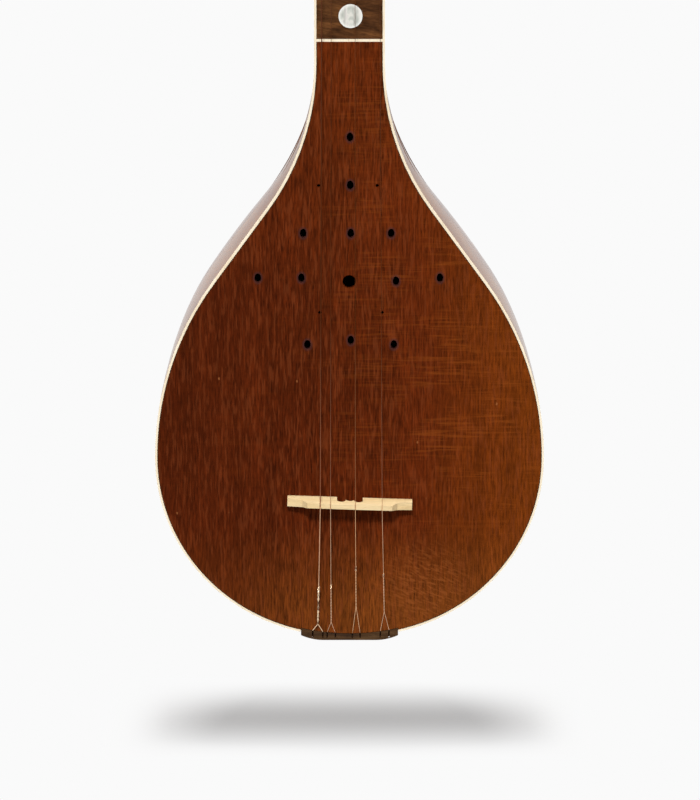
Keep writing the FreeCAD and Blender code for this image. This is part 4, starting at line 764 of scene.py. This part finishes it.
def softRing(half, thick, height, fullness, count=40):
    ring = []
    for step in range(count):
        turn = 2 * math.pi * step / count
        c, s = math.cos(turn), math.sin(turn)
        ring.append(Vector((half * math.copysign(abs(c) ** (2 / fullness), c),
                            thick * math.copysign(abs(s) ** (2 / fullness), s), height)))
    return ring


def smoothed(points, steps):  # a soft line through pairs of numbers
    found = []
    for i in range(len(points) - 1):
        p0, p1, p2, p3 = (points[min(max(i + k, 0), len(points) - 1)] for k in (-1, 0, 1, 2))
        for step in range(steps):
            t = step / steps
            found.append([0.5 * (2 * b + (c - a) * t + (2 * a - 5 * b + 4 * c - d) * t * t
                                 + (3 * b - a - 3 * c + d) * t ** 3) for a, b, c, d in zip(p0, p1, p2, p3)])
    return found + [list(points[-1])]


def makePeg(name, row):
    tip, foot = -grip(row) - pegs["tip"], pegs["neck"]
    start = foot + pegs["collarHeight"]
    collar, soft, tipSoft = pegs["collar"], pegs["collarSoften"], pegs["tipSoften"]
    turned = [(shaftRadius(tip, row) - tipSoft, tip), (shaftRadius(tip, row), tip + tipSoft),
              (shaftRadius(foot, row), foot - soft), (collar - soft, foot), (collar, foot + soft),
              (collar, start - soft), (collar - tipSoft, start)]
    rings = [softRing(radius, radius, height, 2) for radius, height in turned]
    reach, topShare, topRise = pegs["crown"]
    for (across, share), (deep, _) in zip(smoothed(pegs["front"], 4), smoothed(pegs["side"], 4)):
        rings.append(softRing(pegs["half"] * min(across, 1), pegs["thick"] * min(deep, 1),
                              start + pegs["handle"] * min(share, 1) * reach, pegs["handleFullness"]))
    centre = Vector((0, 0, rings[-1][0].z))
    rings.append([centre + (v - centre) * topShare + Vector((0, 0, topRise)) for v in rings[-1]])
    matrix = pegMatrix(row, row["handle"])
    piece = ringMesh("peg" + name.capitalize(), [[matrix @ v for v in ring] for ring in rings], rosewood, 50)
    seat(piece, "turning_peg_" + name, "peg_wood", "peg_" + name)


# a wire wound on its peg, and two strands laid round each other: spirals with a round section
spiralTree, given = newTree("coiledWire", [
    ("Turns", "Float"), ("Start Radius", "Float"), ("End Radius", "Float"), ("Height", "Float"),
    ("Wire", "Float"), ("Reverse", "Bool"), ("Strands", "Int"), ("Material", "Material")])
spiral = addNode(spiralTree, "GeometryNodeCurveSpiral", {
    "Resolution": 30, "Rotations": given["Turns"], "Start Radius": given["Start Radius"],
    "End Radius": given["End Radius"], "Height": given["Height"], "Reverse": given["Reverse"]})
halfWire = addNode(spiralTree, "Math", {0: given["Wire"], 1: 0.5}, operation="MULTIPLY")
profile = addNode(spiralTree, "GeometryNodeCurvePrimitiveCircle", {"Resolution": 8, "Radius": halfWire})
tube = addNode(spiralTree, "GeometryNodeCurveToMesh", {
    "Curve": spiral, "Profile Curve": profile, "Fill Caps": True})
spots = addNode(spiralTree, "GeometryNodeMeshLine", {
    "Count": given["Strands"], "Offset": (0, 0, 0)}, mode="OFFSET")
number = addNode(spiralTree, "GeometryNodeInputIndex")
turn = addNode(spiralTree, "Math", {0: number, 1: 2 * math.pi}, operation="MULTIPLY")
turn = addNode(spiralTree, "Math", {0: turn, 1: given["Strands"]}, operation="DIVIDE")
strands = addNode(spiralTree, "GeometryNodeInstanceOnPoints", {
    "Points": spots, "Instance": tube, "Rotation": addNode(spiralTree, "CombineXYZ", {"Z": turn})})
smooth = addNode(spiralTree, "GeometryNodeSetShadeSmooth", {0: strands})
endTree(spiralTree, smooth, given["Material"])


def coil(name, material, values, matrix):  # the coil is grown in mm, then laid in place in metres
    piece = newObject(name, bpy.data.meshes.new(name))
    useTree(piece, spiralTree, {**values, "Material": material})
    piece = plainMesh(piece)
    piece.data.transform(Matrix.Scale(mm, 4) @ matrix)
    return piece


def nutPoint(row):
    rise = seats["nutRise"] - seats["slotDepth"] + row["wire"] / 2 + seats["gap"]
    return Vector((row["nutX"], -rise, neck["nutTop"]))


def windingStart(row):  # radius, height on the peg and angle where the string arrives
    wire = row["wire"]
    outer = pegs["windingGap"] + wire + pegs["cadTurns"] * (wire + pegs["windingGap"])
    radius = shaftRadius(outer, row) + wire / 2 + seats["gap"]
    away = pegMatrix(row).inverted() @ nutPoint(row)
    angle = math.atan2(away.y, away.x) + row["hand"] * math.acos(radius / math.hypot(away.x, away.y))
    return radius, outer, angle


def makeWinding(name, row):
    radius, outer, angle = windingStart(row)
    matrix = (pegMatrix(row) @ Matrix.Translation((0, 0, outer)) @ Matrix.Rotation(angle, 4, "Z")
              @ Matrix.Rotation(math.pi, 4, "X"))
    piece = coil("winding" + name.capitalize(), wireOf[name], {
        "Turns": row["turns"], "Start Radius": radius, "End Radius": radius - 0.06, "Strands": 1,
        "Height": outer - pegs["windingGap"] - row["wire"], "Wire": row["wire"],
        "Reverse": row["hand"] < 0}, matrix)
    faceOutward(piece.data)
    seat(piece, "turning_peg_" + name, wireSlot[name], "winding_" + name)


def eased(points, reach):  # the corners of a wire's run, rounded over a short reach
    found = [points[0]]
    for before, corner, after in zip(points, points[1:], points[2:]):
        a = corner + (before - corner).normalized() * reach
        b = corner + (after - corner).normalized() * reach
        found += [a * (1 - t) ** 2 + corner * 2 * t * (1 - t) + b * t ** 2 for t in (0, 0.25, 0.5, 0.75, 1)]
    return found + [points[-1]]


def laid(start, end):  # places what was grown along Z from one point towards another
    return Matrix.Translation(start) @ (end - start).to_track_quat("Z", "Y").to_matrix().to_4x4()


def edgeZ(x):  # height of the bowl's lower edge, where the string's legs turn into the tailpiece
    radius = bowl["endShare"] * bowl["halfWidth"]
    return bowl["overhang"] + radius - math.sqrt((radius - seats["tailSeat"]) ** 2 - x ** 2)


def makeString(name, row):
    wire, tooth, material = row["wire"], row["tooth"], wireOf[name]
    lift = wire / 2 + seats["gap"]
    entry = Vector((tooth, -wire / 2 - seats["legAir"], edgeZ(tooth) + seats["legRise"]))
    sink = (row["bridgeX"] - seats["shift"]) * math.tan(math.radians(seats["tilt"]))
    crest = Vector((row["bridgeX"], seats["notch"] - seats["rise"] - lift, seats["bridgeZ"] - sink))
    below, over = crest - Vector((0, 0, seats["ridgeHalf"])), crest + Vector((0, 0, seats["ridgeHalf"]))
    apex = entry + (below - entry) * ((row["apex"] - entry.z) / (below.z - entry.z))
    bead = entry + (below - entry) * ((row["bead"] - entry.z) / (below.z - entry.z))
    nut = nutPoint(row)
    radius, outer, angle = windingStart(row)
    arrival = pegMatrix(row) @ Vector((radius * math.cos(angle), radius * math.sin(angle), outer))
    nutFoot = nut - Vector((0, 0, seats["nutRun"]))
    runs = [eased([bead, below, over, nutFoot, nut, arrival], seats["bend"])]
    for side in (-1, 1):
        x = tooth + side * row["spread"]
        runs.append(eased([
            apex + Vector((side * seats["legJoin"] * wire, 0, 0)),
            Vector((x, entry.y, edgeZ(x) + seats["legRise"])),
            Vector((x, seats["slotY"], edgeZ(x) - seats["legFall"])),
            Vector((x, seats["slotY"], seats["groove"] - lift))], seats["legBend"]))
    wires = curveObject("wire" + name, runs)
    wires.data.bevel_depth = wire / 2 * mm
    wires.data.bevel_resolution = 2
    wires.data.use_fill_caps = True
    wires.data.materials.append(material)
    wires = plainMesh(wires)
    length = (bead - apex).length
    twist = coil("twist", material, {
        "Turns": length / (6 * wire + 1.4), "Start Radius": wire * 0.5, "End Radius": wire * 0.5,
        "Height": length, "Wire": wire, "Strands": 2}, laid(apex, bead))
    knot = coil("knot", material, {
        "Turns": 5.0, "Start Radius": wire * 0.3 + 0.25, "End Radius": wire * 0.3 + 0.2,
        "Height": wire * 5 + 0.5, "Wire": wire, "Strands": 1}, laid(bead, below))
    work = bmesh.new()
    for part, scraped in ((wires, False), (twist, name == "bass"), (knot, True)):
        part.data.polygons.foreach_set("material_index", [int(scraped)] * len(part.data.polygons))
        work.from_mesh(part.data)
        bpy.data.objects.remove(part)
    mesh = bpy.data.meshes.new("string" + name.capitalize())
    bmesh.ops.recalc_face_normals(work, faces=work.faces)
    work.to_mesh(mesh)
    work.free()
    mesh.materials.append(material)
    mesh.materials.append(scrapedWire)
    mesh.polygons.foreach_set("use_smooth", [True] * len(mesh.polygons))
    seat(newObject(mesh.name, mesh), "lute", wireSlot[name], "string_" + name)


for name, row in strings.items():
    makePeg(name, row)
    makeWinding(name, row)
    makeString(name, row)
print("pegs, windings and strings made:", len(strings))


frets = {
    "cents": [90, 140, 200, 290, 340, 400, 500, 560, 610, 700, 790, 840, 900,
              990, 1040, 1100, 1200, 1290, 1340, 1400, 1490, 1540, 1600, 1700, 1800],
    "gut": 0.55, "width": 2.2, "play": 0.08, "knot": (1.5, 0.85, 1.0), "knotAt": (0.1, 5.5), "turns": (3, 4),
    "fitBelow": 4, "corner": [(0, 0.6, 0), (0.25, 0, 0.8), (0.7, 0, 1)],
}
# turns of gut side by side round the neck, and the knot that holds them
fretTree, given = newTree("tiedGut", [
    ("Geometry", "Geometry"), ("Turns", "Int"), ("Pitch", "Float"), ("Gut", "Float"), ("Knot", "Vector"),
    ("Knot Place", "Vector"), ("Material", "Material")])
halfGut = addNode(fretTree, "Math", {0: given["Gut"], 1: 0.5}, operation="MULTIPLY")
profile = addNode(fretTree, "GeometryNodeCurvePrimitiveCircle", {"Resolution": 10, "Radius": halfGut})
loop = addNode(fretTree, "GeometryNodeCurveToMesh", {"Curve": given["Geometry"], "Profile Curve": profile})
step = addNode(fretTree, "CombineXYZ", {"Z": given["Pitch"]})
spots = addNode(fretTree, "GeometryNodeMeshLine", {"Count": given["Turns"], "Offset": step}, mode="OFFSET")
turns = addNode(fretTree, "GeometryNodeInstanceOnPoints", {"Points": spots, "Instance": loop})
ball = addNode(fretTree, "GeometryNodeMeshIcoSphere", {"Subdivisions": 3, "Radius": 0.5 * mm})
knot = addNode(fretTree, "GeometryNodeTransform", {
    "Geometry": ball, "Translation": given["Knot Place"], "Scale": given["Knot"]})
both = addNode(fretTree, "GeometryNodeJoinGeometry", {0: turns})
fretTree.links.new(knot.outputs[0], both.inputs[0])
smooth = addNode(fretTree, "GeometryNodeSetShadeSmooth", {0: both})
endTree(fretTree, smooth, given["Material"])


def makeFret(number, cents):
    height = neck["nutZ"] - neck["scaleLength"] * (1 - 2 ** (-cents / 1200))
    out = frets["play"] + frets["gut"] / 2
    fit = height - frets["fitBelow"]  # the loop fits the neck a little further down, where it is wider
    half = neckHalfAt(fit) + out
    back = neckBack(half, neckDepthAt(fit) + out)
    edge = [(x - half, y - out * share) for x, y, share in frets["corner"]]
    edge += [(-x, y) for x, y in edge[::-1]]
    turnCount = frets["turns"][number % 2]
    pitch = (frets["width"] - frets["gut"]) / (max(frets["turns"]) - 1)
    start = height - pitch * (turnCount - 1) / 2
    piece = curveObject("fret%02d" % number, [[(x, y, start) for x, y in back + edge]], closed=True)
    useTree(piece, fretTree, {
        "Turns": turnCount, "Pitch": pitch * mm, "Gut": frets["gut"] * mm, "Knot": frets["knot"],
        "Knot Place": ((frets["knotAt"][0] - half) * mm, frets["knotAt"][1] * mm, height * mm),
        "Material": gut})
    piece = plainMesh(piece)
    faceOutward(piece.data)
    seat(piece, "tied_fret_%02d" % number, "gut", "fret_%02d" % number)


for number, cents in enumerate(frets["cents"], start=1):
    makeFret(number, cents)
print("frets tied:", len(frets["cents"]))


studio = {"floorZ": -48, "halfSize": 15, "background": "#fafafa", "paper": ("#bfbfbf", "#c1c1c1"),
          "glow": 0.364, "ambient": 0.3,
          "shadow": {"y": 41, "band": (0, 54), "x": 0, "reach": (75, 102)},
          "key": {"from": (-0.1, -1.0, 0.9), "strength": 2.75, "softDegrees": 10},
          "overhead": {"from": (0.0, 0.04, 1.0), "strength": 2.6, "softDegrees": 22}}


def seesPlain(tree):  # the camera, mirrored rays and rays through glass all meet the plain background
    path = addNode(tree, "LightPath").outputs
    seen = path["Is Camera Ray"]
    for ray in ("Is Glossy Ray", "Is Transmission Ray"):
        seen = addNode(tree, "Math", {0: seen, 1: path[ray]}, operation="MAXIMUM")
    return seen


# pale paper floor: lamp and glow together bring it to the background's grey, the overhead lamp draws
# the shadow, and away from the middle of that shadow the plain background takes over
floorPaper, tree, coords = newMaterial("palePaper")
fibre = addNode(tree, "TexNoise", {"Vector": coords, "Scale": 400.0, "Detail": 2.0})
shade = addNode(tree, "ValToRGB", {"Fac": fibre}, stops=list(zip((0.3, 0.7), studio["paper"])))
lit = addNode(tree, "BsdfDiffuse", {"Color": shade})
glow = addNode(tree, "Emission", {"Color": (1, 1, 1, 1), "Strength": studio["glow"]})
glowing = addNode(tree, "AddShader", {0: lit, 1: glow})
bright = addNode(tree, "Emission", {"Color": paint(studio["background"]), "Strength": 1.0})
place = addNode(tree, "SeparateXYZ", {0: coords}).outputs
fade = None
for axis, middle, (low, high) in (("Y", studio["shadow"]["y"], studio["shadow"]["band"]),
                                  ("X", studio["shadow"]["x"], studio["shadow"]["reach"])):
    off = addNode(tree, "Math", {0: place[axis], 1: middle * mm}, operation="SUBTRACT")
    off = addNode(tree, "Math", {0: off}, operation="ABSOLUTE")
    within = addNode(tree, "MapRange", {
        "Value": off, "From Min": high * mm, "From Max": low * mm}, interpolation_type="SMOOTHSTEP")
    fade = within if fade is None else addNode(tree, "Math", {0: fade, 1: within}, operation="MULTIPLY")
shown = addNode(tree, "MixShader", {0: fade, 1: bright, 2: glowing})
floorMix = addNode(tree, "MixShader", {0: seesPlain(tree), 1: lit, 2: shown})
addNode(tree, "OutputMaterial", {"Surface": floorMix})

side, low = studio["halfSize"], studio["floorZ"] * mm
floorMesh = bpy.data.meshes.new("floor")
floorMesh.from_pydata([(-side, -side, low), (side, -side, low), (side, side, low), (-side, side, low)], [],
                      [(0, 1, 2, 3)])
floorMesh.materials.append(floorPaper)
floor = newObject("floor", floorMesh)

world = bpy.data.worlds.new("paleRoom")
scene.world = world
world.use_nodes = True
tree = world.node_tree
tree.nodes.clear()
room = addNode(tree, "Background", {"Color": (1, 1, 1, 1), "Strength": studio["ambient"]})
backdrop = addNode(tree, "Background", {"Color": paint(studio["background"]), "Strength": 1.0})
roomMix = addNode(tree, "MixShader", {0: seesPlain(tree), 1: room, 2: backdrop})
addNode(tree, "OutputWorld", {"Surface": roomMix})

for lampName in ("key", "overhead"):
    lamp = studio[lampName]
    data = bpy.data.lights.new(lampName + "Lamp", "SUN")
    data.energy = lamp["strength"]
    data.angle = math.radians(lamp["softDegrees"])
    light = newObject(lampName + "Lamp", data)
    light.rotation_euler = Vector(lamp["from"]).to_track_quat("Z", "Y").to_euler()
    if lampName == "key":  # the key lamp passes the floor by, so that only the overhead shadow falls there
        passedBy = bpy.data.collections.new("passedByKey")
        passedBy.objects.link(floor)
        light.light_linking.receiver_collection = passedBy
        passedBy.collection_objects[0].light_linking.link_state = "EXCLUDE"
print("studio ready")
